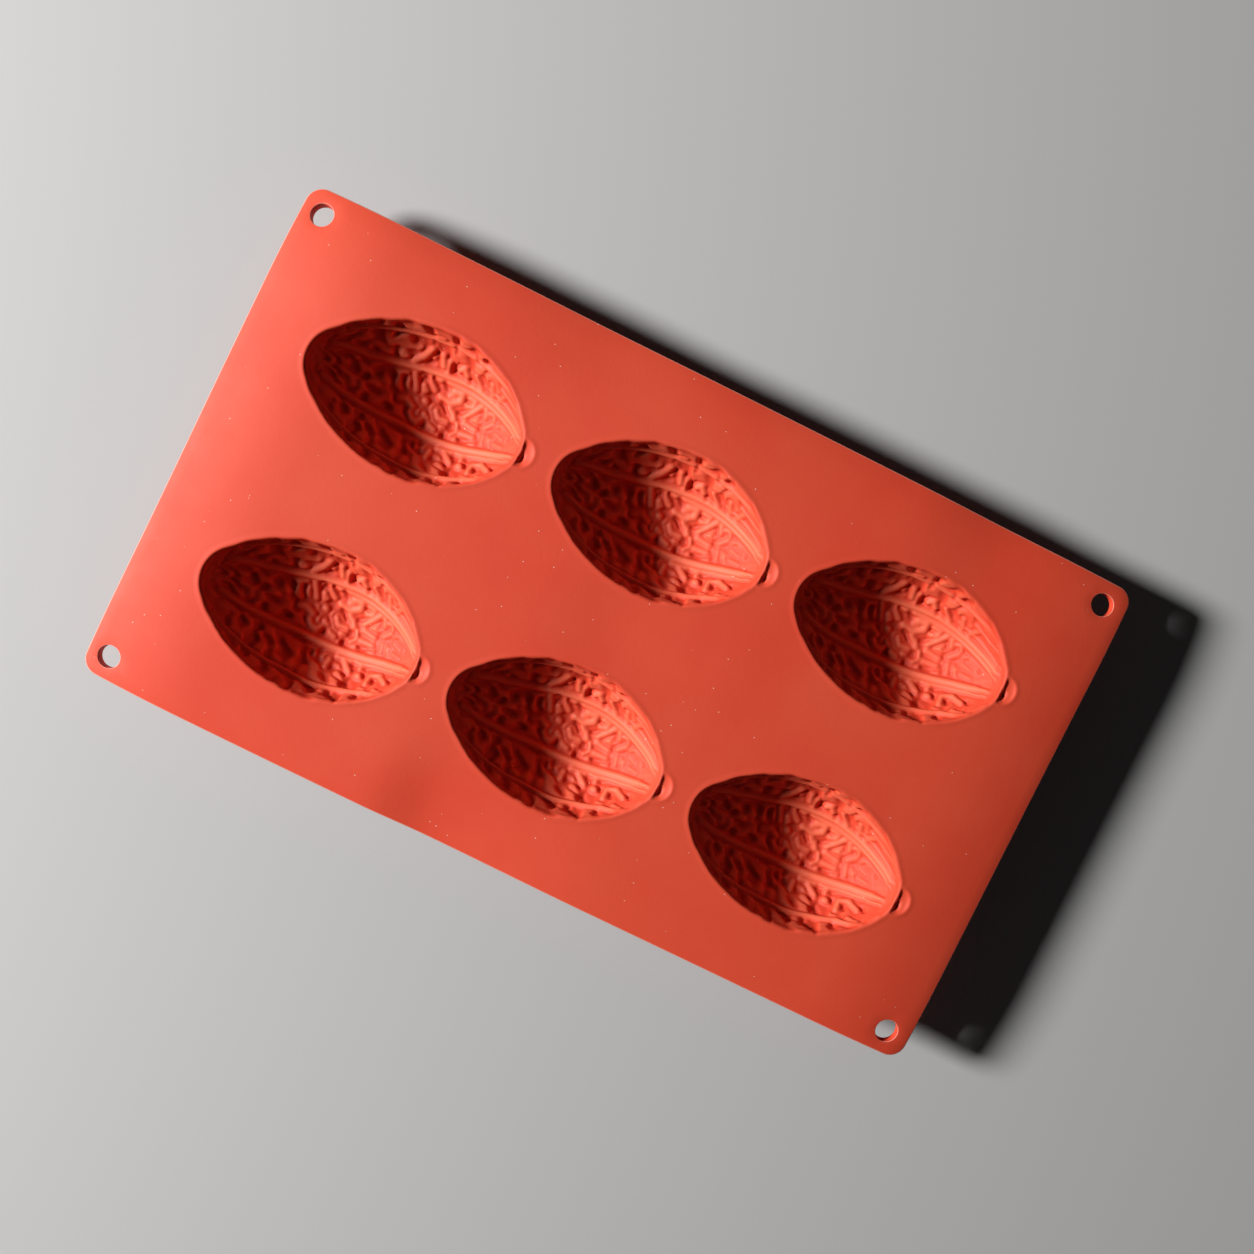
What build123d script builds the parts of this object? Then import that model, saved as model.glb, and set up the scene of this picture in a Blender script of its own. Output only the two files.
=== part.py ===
from build123d import *
import os

# A flexible six-cavity silicone mould for half cocoa pods, in millimetres.
# +X runs along the sheet from the pods' tips to their stems, +Y across it and +Z up.
# The origin is under the middle of the sheet, on the surface that the cups stand on.

# Sheet
SHEET_LENGTH = 300.0
SHEET_WIDTH = 175.0
SHEET_THICKNESS = 3.0
SHEET_CORNER_RADIUS = 5.5
SHEET_EDGE_ROUND = 0.9

# Corner holes
HOLE_DIAMETER = 8.0
HOLE_INSET = 8.0
HOLE_EDGE_BEVEL = 0.4

# Pod array
POD_COLUMNS = 3
POD_ROWS = 2
POD_PITCH_X = 88.0
POD_PITCH_Y = 78.0

# Hollow of one pod, half of a body of revolution about an axis in the sheet's top face
POD_LENGTH = 74.3
POD_WIDTH = 48.7
POD_WIDEST_FROM_TIP = 40.0
POD_TIP_RADIUS = 12.0
POD_STEM_END_RADIUS = 13.0
MOUTH_BEVEL = 0.6

# Stem pocket behind the pod, with a ridge that makes the pod's neck
STEM_DIAMETER = 9.0
STEM_REACH = 4.4
STEM_PAD_LENGTH = 4.1
STEM_EDGE_ROUND = 1.4
NECK_DIAMETER = 6.4

# Cup under the sheet
CUP_WALL = 2.0
FOOT_DEPTH = 0.5

# Ribs along the hollow, each a pair of beads, at angles from straight down towards +Y
RIB_ANGLES = (-59.0, -20.0, 31.0, 57.0)
RIB_BEAD_RADIUS = 1.4
RIB_BEAD_SPACING = 3.0
RIB_HEIGHT = 0.9
RIB_RUN_OUT = 5.0

# Places that follow from the sizes above
SHEET_TOP = POD_WIDTH / 2 + CUP_WALL - FOOT_DEPTH
SEAM_HEIGHT = SHEET_TOP - SHEET_THICKNESS
POD_TIP_X = -(POD_LENGTH + STEM_REACH) / 2


def arc_about(centre, start, end):
    """Returns the arc from start to end round a centre, on the side where they lie."""
    middle = (start - centre) + (end - centre)
    return ThreePointArc(start, centre + middle.normalized() * (start - centre).length, end)


def flank_radius(reach, half_width, end_radius):
    """Returns the radius of a flank that is level at the pod's widest place and meets an end circle.

    Args:
        reach: distance along the pod from its widest place to its end.
        half_width: half of the pod's width at its widest place.
        end_radius: radius of the circle that closes the end.
    """
    run = reach - end_radius
    return (run**2 + half_width**2 - end_radius**2) / (2 * (half_width - end_radius))


def pod_outline_points(grow):
    """Returns the corner points and centres of half the pod's outline, moved outwards by grow."""
    half_width = POD_WIDTH / 2 + grow
    tip_radius = POD_TIP_RADIUS + grow
    stem_radius = POD_STEM_END_RADIUS + grow
    stem_reach = POD_LENGTH - POD_WIDEST_FROM_TIP
    front = flank_radius(POD_WIDEST_FROM_TIP, POD_WIDTH / 2, POD_TIP_RADIUS) + grow
    rear = flank_radius(stem_reach, POD_WIDTH / 2, POD_STEM_END_RADIUS) + grow
    tip_centre = Vector(POD_TIP_RADIUS, 0)
    stem_centre = Vector(POD_LENGTH - POD_STEM_END_RADIUS, 0)
    front_centre = Vector(POD_WIDEST_FROM_TIP, half_width - front)
    rear_centre = Vector(POD_WIDEST_FROM_TIP, half_width - rear)
    return {
        "tip": Vector(-grow, 0),
        "tip_centre": tip_centre,
        "tip_meets_flank": tip_centre + (tip_centre - front_centre).normalized() * tip_radius,
        "front_centre": front_centre,
        "widest": Vector(POD_WIDEST_FROM_TIP, half_width),
        "rear_centre": rear_centre,
        "flank_meets_stem": stem_centre + (stem_centre - rear_centre).normalized() * stem_radius,
        "stem_centre": stem_centre,
        "stem": Vector(POD_LENGTH + grow, 0),
    }


def pod_outline(grow):
    """Returns half of the pod's outline, from its tip to its stem end, moved outwards by grow."""
    at = pod_outline_points(grow)
    return Curve() + [
        arc_about(at["tip_centre"], at["tip"], at["tip_meets_flank"]),
        arc_about(at["front_centre"], at["tip_meets_flank"], at["widest"]),
        arc_about(at["rear_centre"], at["widest"], at["flank_meets_stem"]),
        arc_about(at["stem_centre"], at["flank_meets_stem"], at["stem"]),
    ]


def pod_body(grow):
    """Returns the whole pod, without its stem, as a body of revolution about the X axis."""
    at = pod_outline_points(grow)
    half = make_face(Curve() + [*pod_outline(grow).edges(), Line(at["stem"], at["tip"])])
    return revolve(half, Axis.X)


def stem_pad(grow):
    """Returns the short round pad at the stem's end, with rounded edges, about the X axis."""
    length = STEM_PAD_LENGTH + 2 * grow
    middle = POD_LENGTH + STEM_REACH - STEM_PAD_LENGTH / 2
    pad = Cylinder(STEM_DIAMETER / 2 + grow, length, rotation=(0, 90, 0))
    pad = fillet(pad.edges().filter_by(GeomType.CIRCLE), STEM_EDGE_ROUND + grow)
    return Pos(middle, 0, 0) * pad


def neck():
    """Returns the round passage between the pod and its stem pad, about the X axis."""
    start = POD_LENGTH - POD_STEM_END_RADIUS
    end = POD_LENGTH + STEM_REACH - STEM_PAD_LENGTH / 2
    return Pos((start + end) / 2, 0, 0) * Cylinder(NECK_DIAMETER / 2, end - start, rotation=(0, 90, 0))


def bevelled_mouth(hollow):
    """Returns the part of a hollow that passes through the sheet, widened by the mouth's bevel."""
    size = 2 * (POD_LENGTH + POD_WIDTH)
    block = Box(size, size, 2 * SHEET_THICKNESS, align=(Align.CENTER, Align.CENTER, Align.MAX))
    walls = block - hollow
    rim = walls.faces().sort_by(Axis.Z)[-1].inner_wires()[0]
    walls = chamfer(rim.edges(), MOUTH_BEVEL)
    return block - walls


def rib_line():
    """Returns a bead's middle line: the pod's flanks, run straight on so that both ends sink."""
    at = pod_outline_points(RIB_BEAD_RADIUS - RIB_HEIGHT)
    front = arc_about(at["front_centre"], at["tip_meets_flank"], at["widest"])
    rear = arc_about(at["rear_centre"], at["widest"], at["flank_meets_stem"])
    run_in = Line(at["tip_meets_flank"] - (front % 0) * RIB_RUN_OUT, at["tip_meets_flank"])
    run_out = Line(at["flank_meets_stem"], at["flank_meets_stem"] + (rear % 1) * RIB_RUN_OUT)
    return Wire([run_in.edge(), front.edge(), rear.edge(), run_out.edge()])


def rib_beads():
    """Returns the beads of all ribs, which follow the pod's flank and are trimmed inside its wall."""
    line = rib_line()
    bead = sweep(Plane(line @ 0, z_dir=line % 0) * Circle(RIB_BEAD_RADIUS), path=line)
    bead = bead & pod_body(CUP_WALL / 2)
    beads = []
    for angle in RIB_ANGLES:
        for side in (-0.5, 0.5):
            placed = Pos(0, 0, side * RIB_BEAD_SPACING) * bead
            beads.append(Rot(X=angle - 90) * placed)
    return beads


def pod_cup():
    """Returns one cup below the seam, with its pod's tip at the local origin and its axis on X."""
    stem_hollow = neck() + stem_pad(0)
    shell = pod_body(CUP_WALL) + stem_pad(CUP_WALL) - pod_body(0) + rib_beads() - stem_hollow
    size = 2 * (POD_LENGTH + POD_WIDTH)
    seam = SEAM_HEIGHT - SHEET_TOP
    above = Pos(0, 0, seam) * Box(size, size, size, align=(Align.CENTER, Align.CENTER, Align.MIN))
    below = Pos(0, 0, -SHEET_TOP) * Box(size, size, size, align=(Align.CENTER, Align.CENTER, Align.MAX))
    return shell - above - below


def pod_places():
    """Returns the place of each pod's tip, on the sheet's top face, row by row from the rear left."""
    places = []
    for row in range(POD_ROWS):
        for column in range(POD_COLUMNS):
            x = POD_TIP_X + (column - (POD_COLUMNS - 1) / 2) * POD_PITCH_X
            y = ((POD_ROWS - 1) / 2 - row) * POD_PITCH_Y
            places.append(Pos(x, y, SHEET_TOP))
    return places


def corner_holes():
    """Returns the four holes near the sheet's corners, centred on its middle plane."""
    spacing_x = SHEET_LENGTH - 2 * HOLE_INSET
    spacing_y = SHEET_WIDTH - 2 * HOLE_INSET
    hole = Cylinder(HOLE_DIAMETER / 2, 2 * SHEET_THICKNESS)
    return [place * hole for place in GridLocations(spacing_x, spacing_y, 2, 2)]


def level_faces(sheet):
    """Returns the sheet's lower and upper face."""
    faces = sheet.faces().sort_by(Axis.Z)
    return [faces[0], faces[-1]]


def blank_sheet():
    """Returns the sheet without its mouths: bevelled corner holes and a round edge all the way."""
    outline = RectangleRounded(SHEET_LENGTH, SHEET_WIDTH, SHEET_CORNER_RADIUS)
    sheet = extrude(outline, SHEET_THICKNESS / 2, both=True) - corner_holes()
    hole_rims = [rim.edges() for face in level_faces(sheet) for rim in face.inner_wires()]
    sheet = chamfer(hole_rims, HOLE_EDGE_BEVEL)
    outer_rims = [face.outer_wire().edges() for face in level_faces(sheet)]
    return fillet(outer_rims, SHEET_EDGE_ROUND)


def top_sheet():
    """Returns the sheet in its place, with a pod-shaped mouth over each cup."""
    sheet = Pos(0, 0, SHEET_TOP - SHEET_THICKNESS / 2) * blank_sheet()
    mouth = bevelled_mouth(pod_body(0)) + bevelled_mouth(neck()) + bevelled_mouth(stem_pad(0))
    for place in pod_places():
        sheet = sheet - place * mouth
    return sheet


def write_nodes():
    """Builds every node and writes one file for each."""
    os.makedirs("parts", exist_ok=True)
    export_step(top_sheet(), "parts/top_sheet.step")
    cup = pod_cup()
    for number, place in enumerate(pod_places(), start=1):
        export_step(place * cup, f"parts/pod_cup_{number}.step")


write_nodes()
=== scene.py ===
"""A six-cavity silicone mould for half cocoa pods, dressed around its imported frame."""

import logging
import math
from collections import Counter, deque
from collections.abc import Callable
from dataclasses import dataclass, field
from enum import Enum

import bmesh
import bpy
import numpy as np
from mathutils import Matrix, Vector
from mathutils.geometry import delaunay_2d_cdt


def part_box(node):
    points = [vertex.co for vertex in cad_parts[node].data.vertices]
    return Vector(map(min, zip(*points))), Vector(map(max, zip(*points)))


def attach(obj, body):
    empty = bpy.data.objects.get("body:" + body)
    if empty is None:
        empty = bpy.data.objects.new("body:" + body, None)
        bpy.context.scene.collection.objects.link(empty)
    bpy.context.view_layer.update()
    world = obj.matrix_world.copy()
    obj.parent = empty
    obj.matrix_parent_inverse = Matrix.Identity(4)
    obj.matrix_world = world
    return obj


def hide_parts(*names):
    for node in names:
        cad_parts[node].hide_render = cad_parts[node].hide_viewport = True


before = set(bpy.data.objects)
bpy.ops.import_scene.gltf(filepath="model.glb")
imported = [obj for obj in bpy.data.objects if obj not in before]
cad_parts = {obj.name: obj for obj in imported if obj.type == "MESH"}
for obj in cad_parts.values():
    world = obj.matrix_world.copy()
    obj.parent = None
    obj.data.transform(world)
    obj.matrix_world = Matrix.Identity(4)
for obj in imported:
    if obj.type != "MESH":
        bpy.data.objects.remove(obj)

log = logging.getLogger("silicone_mould")

# Shapes are worked out in millimetres, as every size without a unit is, and written to meshes in metres.
MM = 0.001
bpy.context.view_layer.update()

# The pods and the corner holes both lie in two rows
POD_COLUMNS = 3
HOLE_COLUMNS = 2
ROWS = 2

# Limits that keep a division or a comparison sound. The seam's is in metres, as the mesh that it cuts
LEAST_SLOPE = 1e-3
LEAST_RADIUS = 0.1
SAME_PLACE = 1e-5
SEAM_TOLERANCE = 1e-7

# Samples along the pod's axis, and the smallest radius that wrinkles are drawn together for
AXIS_SAMPLES = 400
NARROWEST = 4.0

# Spread of the noise in standard deviations, and sockets of a Mix node that blends colours
NOISE_SPAN = 2.2
FIRST_COLOUR = 6
SECOND_COLOUR = 7
BLENDED_COLOUR = 2


# Distance fields
def round_union(a: np.ndarray, b: np.ndarray, radius: float) -> np.ndarray:
    """Join two distance fields with a round fillet in their inner corner.

    Args:
        a: Signed distance to the first solid.
        b: Signed distance to the second solid.
        radius: Radius of the fillet.

    Returns:
        Signed distance to the joined solid.
    """
    corner = np.hypot(np.maximum(radius - a, 0.0), np.maximum(radius - b, 0.0))
    return np.maximum(np.minimum(a, b), radius) - corner


def round_intersection(a: np.ndarray, b: np.ndarray, radius: float) -> np.ndarray:
    """Cut one distance field by another and round the outer corner between them.

    Args:
        a: Signed distance to the first solid.
        b: Signed distance to the second solid.
        radius: Radius of the rounded edge.

    Returns:
        Signed distance to the common solid.
    """
    corner = np.hypot(np.maximum(a + radius, 0.0), np.maximum(b + radius, 0.0))
    return np.minimum(np.maximum(a, b), -radius) + corner


def soft_minimum(a: np.ndarray, b: np.ndarray, blend: float) -> np.ndarray:
    """Take the smaller of two fields, blended where they are within a distance of each other."""
    overlap = np.maximum(blend - np.abs(a - b), 0.0)
    return np.minimum(a, b) - overlap**2 / (4.0 * blend)


def egg(offsets: tuple[np.ndarray, ...], axes: tuple[float, ...]) -> np.ndarray:
    """Return about the signed distance to an ellipsoid.

    Args:
        offsets: Distances from its centre along each axis.
        axes: Its half lengths.

    Returns:
        About the distance, negative inside.
    """
    share = np.sqrt(sum((offset / axis) ** 2 for offset, axis in zip(offsets, axes)))
    slope = np.sqrt(sum((offset / axis**2) ** 2 for offset, axis in zip(offsets, axes)))
    return share * (share - 1.0) / np.maximum(slope, LEAST_SLOPE)


def smooth_step(x: np.ndarray, low: float, high: float) -> np.ndarray:
    """Rise smoothly from 0 at the low value to 1 at the high one."""
    share = np.clip((x - low) / (high - low), 0.0, 1.0)
    return share * share * (3.0 - 2.0 * share)


def arc_gap(
        s: np.ndarray, out: np.ndarray, centre: tuple[float, float],
        radius: float) -> tuple[np.ndarray, np.ndarray]:
    """Measure points against a circle.

    Args:
        s: Distance of each point along the axis.
        out: Distance of each point from the axis.
        centre: The circle's centre, along the axis and out from it.
        radius: The circle's radius.

    Returns:
        Signed distance to the circle, and the angle round its centre from straight out.
    """
    along = s - centre[0]
    up = out - centre[1]
    return np.hypot(along, up) - radius, np.arctan2(along, up)


@dataclass(frozen=True)
class PodProfile:
    """The hollow of one pod: tangent arcs revolved about an axis in the sheet's top face.

    A point is given by s, its distance along the axis from the tip, and by its distance from
    the axis. The path u runs along the profile from the tip to the stem end.

    Attributes:
        length: Length of the pod without its stem.
        half_width: Half of its width, and its depth.
        widest: Distance from the tip to its widest place.
        tip_radius: Radius of the circle that closes the tip.
        stem_end_radius: Radius of the circle that closes the stem end.
        neck_radius: Half width of the neck between the pod and its stem pocket.
        neck_depth: Depth of the neck.
        neck_blend: Distance over which the neck runs into both.
        neck_overlap: How far the neck reaches into the pocket.
        stem_start: Distance from the tip to where the stem pocket starts.
        stem_reach: Length of the pocket.
        stem_half_width: Half of its width.
        stem_depth: Depth of the pocket.
        stem_lean: How far its front edge leans, for each millimetre of depth.
        stem_blend: Distance over which that edge is rounded.
        lobe_radius: Radius of the round lobe in the cup's wall under the pocket.
        lobe_blend: Distance over which the lobe runs into the cup.
        slit_place: Middle of the leaf-shaped slit between the pod and the pocket.
        slit_axes: Half length, half width and depth of the slit.
        slit_blend: Distance over which the slit runs into the pocket.
    """

    length: float = 74.3
    half_width: float = 24.35
    widest: float = 40.0
    tip_radius: float = 12.0
    stem_end_radius: float = 13.0
    neck_radius: float = 1.8
    neck_depth: float = 0.5
    neck_blend: float = 0.3
    neck_overlap: float = 1.0
    stem_start: float = 75.0
    stem_reach: float = 3.7
    stem_half_width: float = 4.1
    stem_depth: float = 1.1
    stem_lean: float = 0.5
    stem_blend: float = 0.6
    lobe_radius: float = 4.2
    lobe_blend: float = 1.0
    slit_place: tuple[float, float] = (76.2, -1.3)
    slit_axes: tuple[float, float, float] = (1.0, 2.1, 1.7)
    slit_blend: float = 0.5

    def flank_radius(self, reach: float, end_radius: float) -> float:
        """Return the radius of the flank arc that meets an end circle and is level at the widest place."""
        run = reach - end_radius
        return (run**2 + self.half_width**2 - end_radius**2) / (2 * (self.half_width - end_radius))

    @property
    def front_radius(self) -> float:
        """Radius of the flank between the tip and the widest place."""
        return self.flank_radius(self.widest, self.tip_radius)

    @property
    def rear_radius(self) -> float:
        """Radius of the flank between the widest place and the stem end."""
        return self.flank_radius(self.length - self.widest, self.stem_end_radius)

    @property
    def stem_centre(self) -> float:
        """Place along the axis of the centre of the stem end's circle."""
        return self.length - self.stem_end_radius

    @property
    def front_angle(self) -> float:
        """Angle from straight out to the normal where the front flank meets the tip circle."""
        return math.atan2(self.widest - self.tip_radius, self.front_radius - self.half_width)

    @property
    def rear_angle(self) -> float:
        """Angle from straight out to the normal where the rear flank meets the stem end's circle."""
        return math.atan2(self.stem_centre - self.widest, self.rear_radius - self.half_width)

    @property
    def path_marks(self) -> tuple[float, float, float, float]:
        """Path lengths to the end of the tip circle, the widest place, the rear flank and the stem end."""
        tip = self.tip_radius * (math.pi / 2 - self.front_angle)
        widest = tip + self.front_radius * self.front_angle
        rear = widest + self.rear_radius * self.rear_angle
        return tip, widest, rear, rear + self.stem_end_radius * (math.pi / 2 - self.rear_angle)

    def pod(self, s: np.ndarray, out: np.ndarray) -> tuple[np.ndarray, np.ndarray]:
        """Measure points against the pod itself.

        Args:
            s: Distance along the axis from the tip.
            out: Distance from the axis.

        Returns:
            Signed distance to the pod's wall, and the path length u of the nearest point on it.
        """
        tip_end, widest, rear_end, _ = self.path_marks
        front_arc, rear_arc = (
            arc_gap(s, out, (self.widest, self.half_width - radius), radius)
            for radius in (self.front_radius, self.rear_radius))
        tip_arc = arc_gap(s, out, (self.tip_radius, 0.0), self.tip_radius)
        stem_arc = arc_gap(s, out, (self.stem_centre, 0.0), self.stem_end_radius)
        front = s < self.widest
        at_tip = front & (front_arc[1] < -self.front_angle)
        at_stem = ~front & (rear_arc[1] > self.rear_angle)
        places = [at_tip, at_stem, front]
        distance = np.select(places, [tip_arc[0], stem_arc[0], front_arc[0]], rear_arc[0])
        along_tip = tip_end + self.tip_radius * (tip_arc[1] + self.front_angle)
        along_stem = rear_end + self.stem_end_radius * (stem_arc[1] - self.rear_angle)
        along_front = widest + self.front_radius * front_arc[1]
        along_rear = widest + self.rear_radius * rear_arc[1]
        return distance, np.select(places, [along_tip, along_stem, along_front], along_rear)

    def hollow(self, s: np.ndarray, t: np.ndarray, z: np.ndarray) -> tuple[np.ndarray, np.ndarray]:
        """Measure points against the pod, its neck and its shallow stem pocket together.

        Args:
            s: Distance along the axis from the tip.
            t: Distance across from the axis.
            z: Height over the sheet's top, negative below it.

        Returns:
            Signed distance to the hollow's wall, and the path length u on the pod.
        """
        pod, path = self.pod(s, np.hypot(t, z))
        out = np.hypot(t, z * self.neck_radius / self.neck_depth)
        neck_end = self.stem_start + self.neck_overlap
        neck = np.maximum(out - self.neck_radius, np.maximum(self.stem_centre - s, s - neck_end))
        stem = egg((s - self.stem_start, t, z), (self.stem_reach, self.stem_half_width, self.stem_depth))
        stem = -soft_minimum(-stem, s - self.stem_start + self.stem_lean * z, self.stem_blend)
        slit = egg((s - self.slit_place[0], t - self.slit_place[1], z), self.slit_axes)
        stem = soft_minimum(stem, slit, self.slit_blend)
        joined = soft_minimum(neck, stem, self.neck_blend)
        return soft_minimum(pod, joined, self.neck_blend), path

    def plan(self, s: np.ndarray, t: np.ndarray) -> np.ndarray:
        """Return the signed distance to the mouth's outline, seen from above."""
        return self.hollow(s, t, np.zeros_like(s))[0]

    def wall_hollow(self, s: np.ndarray, t: np.ndarray, z: np.ndarray) -> np.ndarray:
        """Measure points against what the cup's outer wall follows: the pod and a round lobe.

        Args:
            s: Distance along the axis from the tip.
            t: Distance across from the axis.
            z: Height over the sheet's top, negative below it.

        Returns:
            Signed distance to both together.
        """
        out = np.hypot(t, z)
        lobe = np.hypot(out, s - self.stem_start) - self.lobe_radius
        return soft_minimum(self.pod(s, out)[0], lobe, self.lobe_blend)

    def radius(self, s: np.ndarray) -> np.ndarray:
        """Measure the pod's half width.

        Args:
            s: Distance along its axis from the tip.

        Returns:
            The half width there.
        """

        def rise(radius: float, centre: float) -> np.ndarray:
            """Return how far an arc stands out from its centre's level."""
            return np.sqrt(np.maximum(radius**2 - (s - centre) ** 2, 0))

        tip_end = self.tip_radius - self.tip_radius * math.sin(self.front_angle)
        rear_end = self.stem_centre + self.stem_end_radius * math.sin(self.rear_angle)
        tip = rise(self.tip_radius, self.tip_radius)
        stem = rise(self.stem_end_radius, self.stem_centre)
        front = self.half_width - self.front_radius + rise(self.front_radius, self.widest)
        rear = self.half_width - self.rear_radius + rise(self.rear_radius, self.widest)
        return np.select([s < tip_end, s > rear_end, s < self.widest], [tip, stem, front], rear)


class StrokeKind(Enum):
    """What a stroke on the pod's wall is."""

    RIB = "rib"
    FOLD = "fold"
    PIT = "pit"


@dataclass(frozen=True)
class Stroke:
    """A raised or sunk line on the pod's wall, through points seen from straight above.

    Attributes:
        kind: What the stroke is.
        half_width: Half of its width, in millimetres.
        height: How far its crest stands out of the wall, or its floor lies in it.
        points: Places along the axis from the tip and across from the axis, in millimetres.
    """

    kind: StrokeKind
    half_width: float
    height: float
    points: tuple[tuple[float, float], ...]


def strokes(kind: StrokeKind, rows: tuple) -> tuple[Stroke, ...]:
    """Return strokes of one kind from rows of half width, height and points."""
    return tuple(Stroke(kind, *row) for row in rows)


RIBS = strokes(StrokeKind.RIB, (
    (1.4, 1.15, ((5, -5.2), (16, -8.0), (30, -8.7), (46, -8.3), (54, -7.1), (64, -4.7),
        (70, -3.2), (73, -2.2))),
    (1.1, 0.85, ((48, -10.2), (56, -8.7), (62, -7.0), (68, -5.4), (72.6, -4.0))),
    (1.4, 1.15, ((4, 5.4), (14, 7.6), (24, 9.8), (34, 12.0), (43, 13.2), (50, 13.4), (58, 11.7),
        (66, 8.6), (73, 3.8))),
    (1.1, 0.95, ((38, 10.9), (44, 11.4), (52, 11.0), (60, 9.4), (66, 7.0), (70, 4.8), (73, 2.2))),
    (0.8, 0.6, ((56, 14.6), (62, 12.6), (67, 9.9), (71, 6.9), (73.2, 4.9))),
    (0.8, 0.6, ((60, 16.0), (66, 12.6), (70.5, 9.2), (73.2, 6.2))),
    (1.3, 1.0, ((8, -12.4), (20, -18.6), (34, -21.0), (46, -20.9), (54, -18.9), (62, -15.7),
        (68, -12.8), (72, -9.2))),
    (1.3, 1.0, ((8, 12.2), (20, 18.6), (32, 21.6), (44, 22.2), (52, 20.8), (60, 18.0),
        (68, 13.2), (72, 9.2))),
))

FOLDS = strokes(StrokeKind.FOLD, (
    (1.5, 0.9, ((29.0, 13.0), (31.4, 15.4), (33.4, 18.6))), (1.3, 0.9, ((37.4, 18.4), (38.6, 15.4))),
    (1.2, 0.8, ((40.6, 14.6), (40.2, 17.6))), (1.3, 1.0, ((44.0, 16.4), (45.6, 17.6), (47.2, 15.8))),
    (0.9, 0.9, ((50.0, 17.0), (53.6, 13.8))), (1.2, 0.8, ((56.4, 16.4), (57.8, 13.6))),
    (1.1, 0.7, ((62.0, 14.6), (60.6, 12.4))), (1.2, 0.8, ((35.8, 10.6), (37.2, 8.6), (38.8, 7.2))),
    (1.2, 0.8, ((30.6, 9.4), (31.8, 7.0), (33.0, 4.4))),
    (1.5, 1.0, ((41.4, 5.9), (45.4, 5.6), (48.2, 7.4), (48.0, 10.0), (45.0, 9.4))),
    (1.2, 0.7, ((44.2, 7.8), (45.4, 8.2))),
    (1.2, 0.9, ((50.9, 9.8), (53.2, 9.4), (53.0, 7.4), (51.0, 6.9))),
    (1.2, 0.95, ((51.6, 3.4), (53.8, 6.0), (55.8, 9.0))), (1.2, 0.8, ((57.6, 8.6), (58.4, 6.2))),
    (0.9, 0.7, ((59.2, 7.6), (60.8, 8.0), (61.6, 6.2))),
    (1.3, 0.9, ((45.4, 3.6), (47.4, 2.8), (48.6, 1.0))), (1.3, 0.9, ((37.1, 2.5), (37.5, 2.3))),
    (1.3, 0.8, ((28.4, -0.6), (31.0, 0.4), (34.0, -1.0))),
    (1.3, 0.9, ((33.8, -3.4), (35.2, -5.0), (37.2, -5.2))),
    (1.1, 0.8, ((41.8, 1.2), (43.4, -0.8), (46.6, -0.6))), (1.2, 0.9, ((41.6, -4.4), (43.8, -5.0))),
    (1.0, 0.8, ((50.2, 0.2), (51.2, -2.4), (49.6, -4.2))),
    (1.1, 0.8, ((38.6, -1.6), (40.0, -2.6), (38.0, -4.4))), (1.3, 0.7, ((52.2, 1.4), (56.6, 0.8))),
    (1.3, 0.7, ((52.6, -2.2), (57.0, -1.8))), (1.2, 0.55, ((59.2, 2.6), (61.2, 4.8))),
    (1.1, 0.5, ((60.0, 0.4), (60.6, -2.2))), (1.0, 0.4, ((63.6, 2.4), (66.0, 1.6))),
    (1.0, 0.4, ((64.6, -0.8), (67.2, -0.9))), (1.3, 0.9, ((51.2, -10.6), (54.0, -12.8))),
    (1.0, 0.8, ((57.6, -8.9), (57.0, -10.3))), (1.4, 1.0, ((57.4, -12.5), (58.2, -12.4))),
    (1.3, 1.0, ((67.2, -9.7), (64.6, -8.9), (61.8, -10.4), (61.5, -13.2))),
    (1.1, 0.8, ((65.0, -13.3), (67.2, -12.7))), (1.1, 0.7, ((70.4, -10.6), (71.4, -8.8))),
    (1.3, 0.8, ((50.6, -15.0), (53.6, -15.2))), (1.2, 0.8, ((46.2, -12.2), (46.0, -14.8))),
    (1.3, 0.7, ((49.4, -21.4), (50.8, -20.9))), (1.3, 0.7, ((34.4, 22.4), (36.4, 22.7))),
    (1.2, 0.7, ((43.4, 22.4), (45.6, 22.2))),
))

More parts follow.
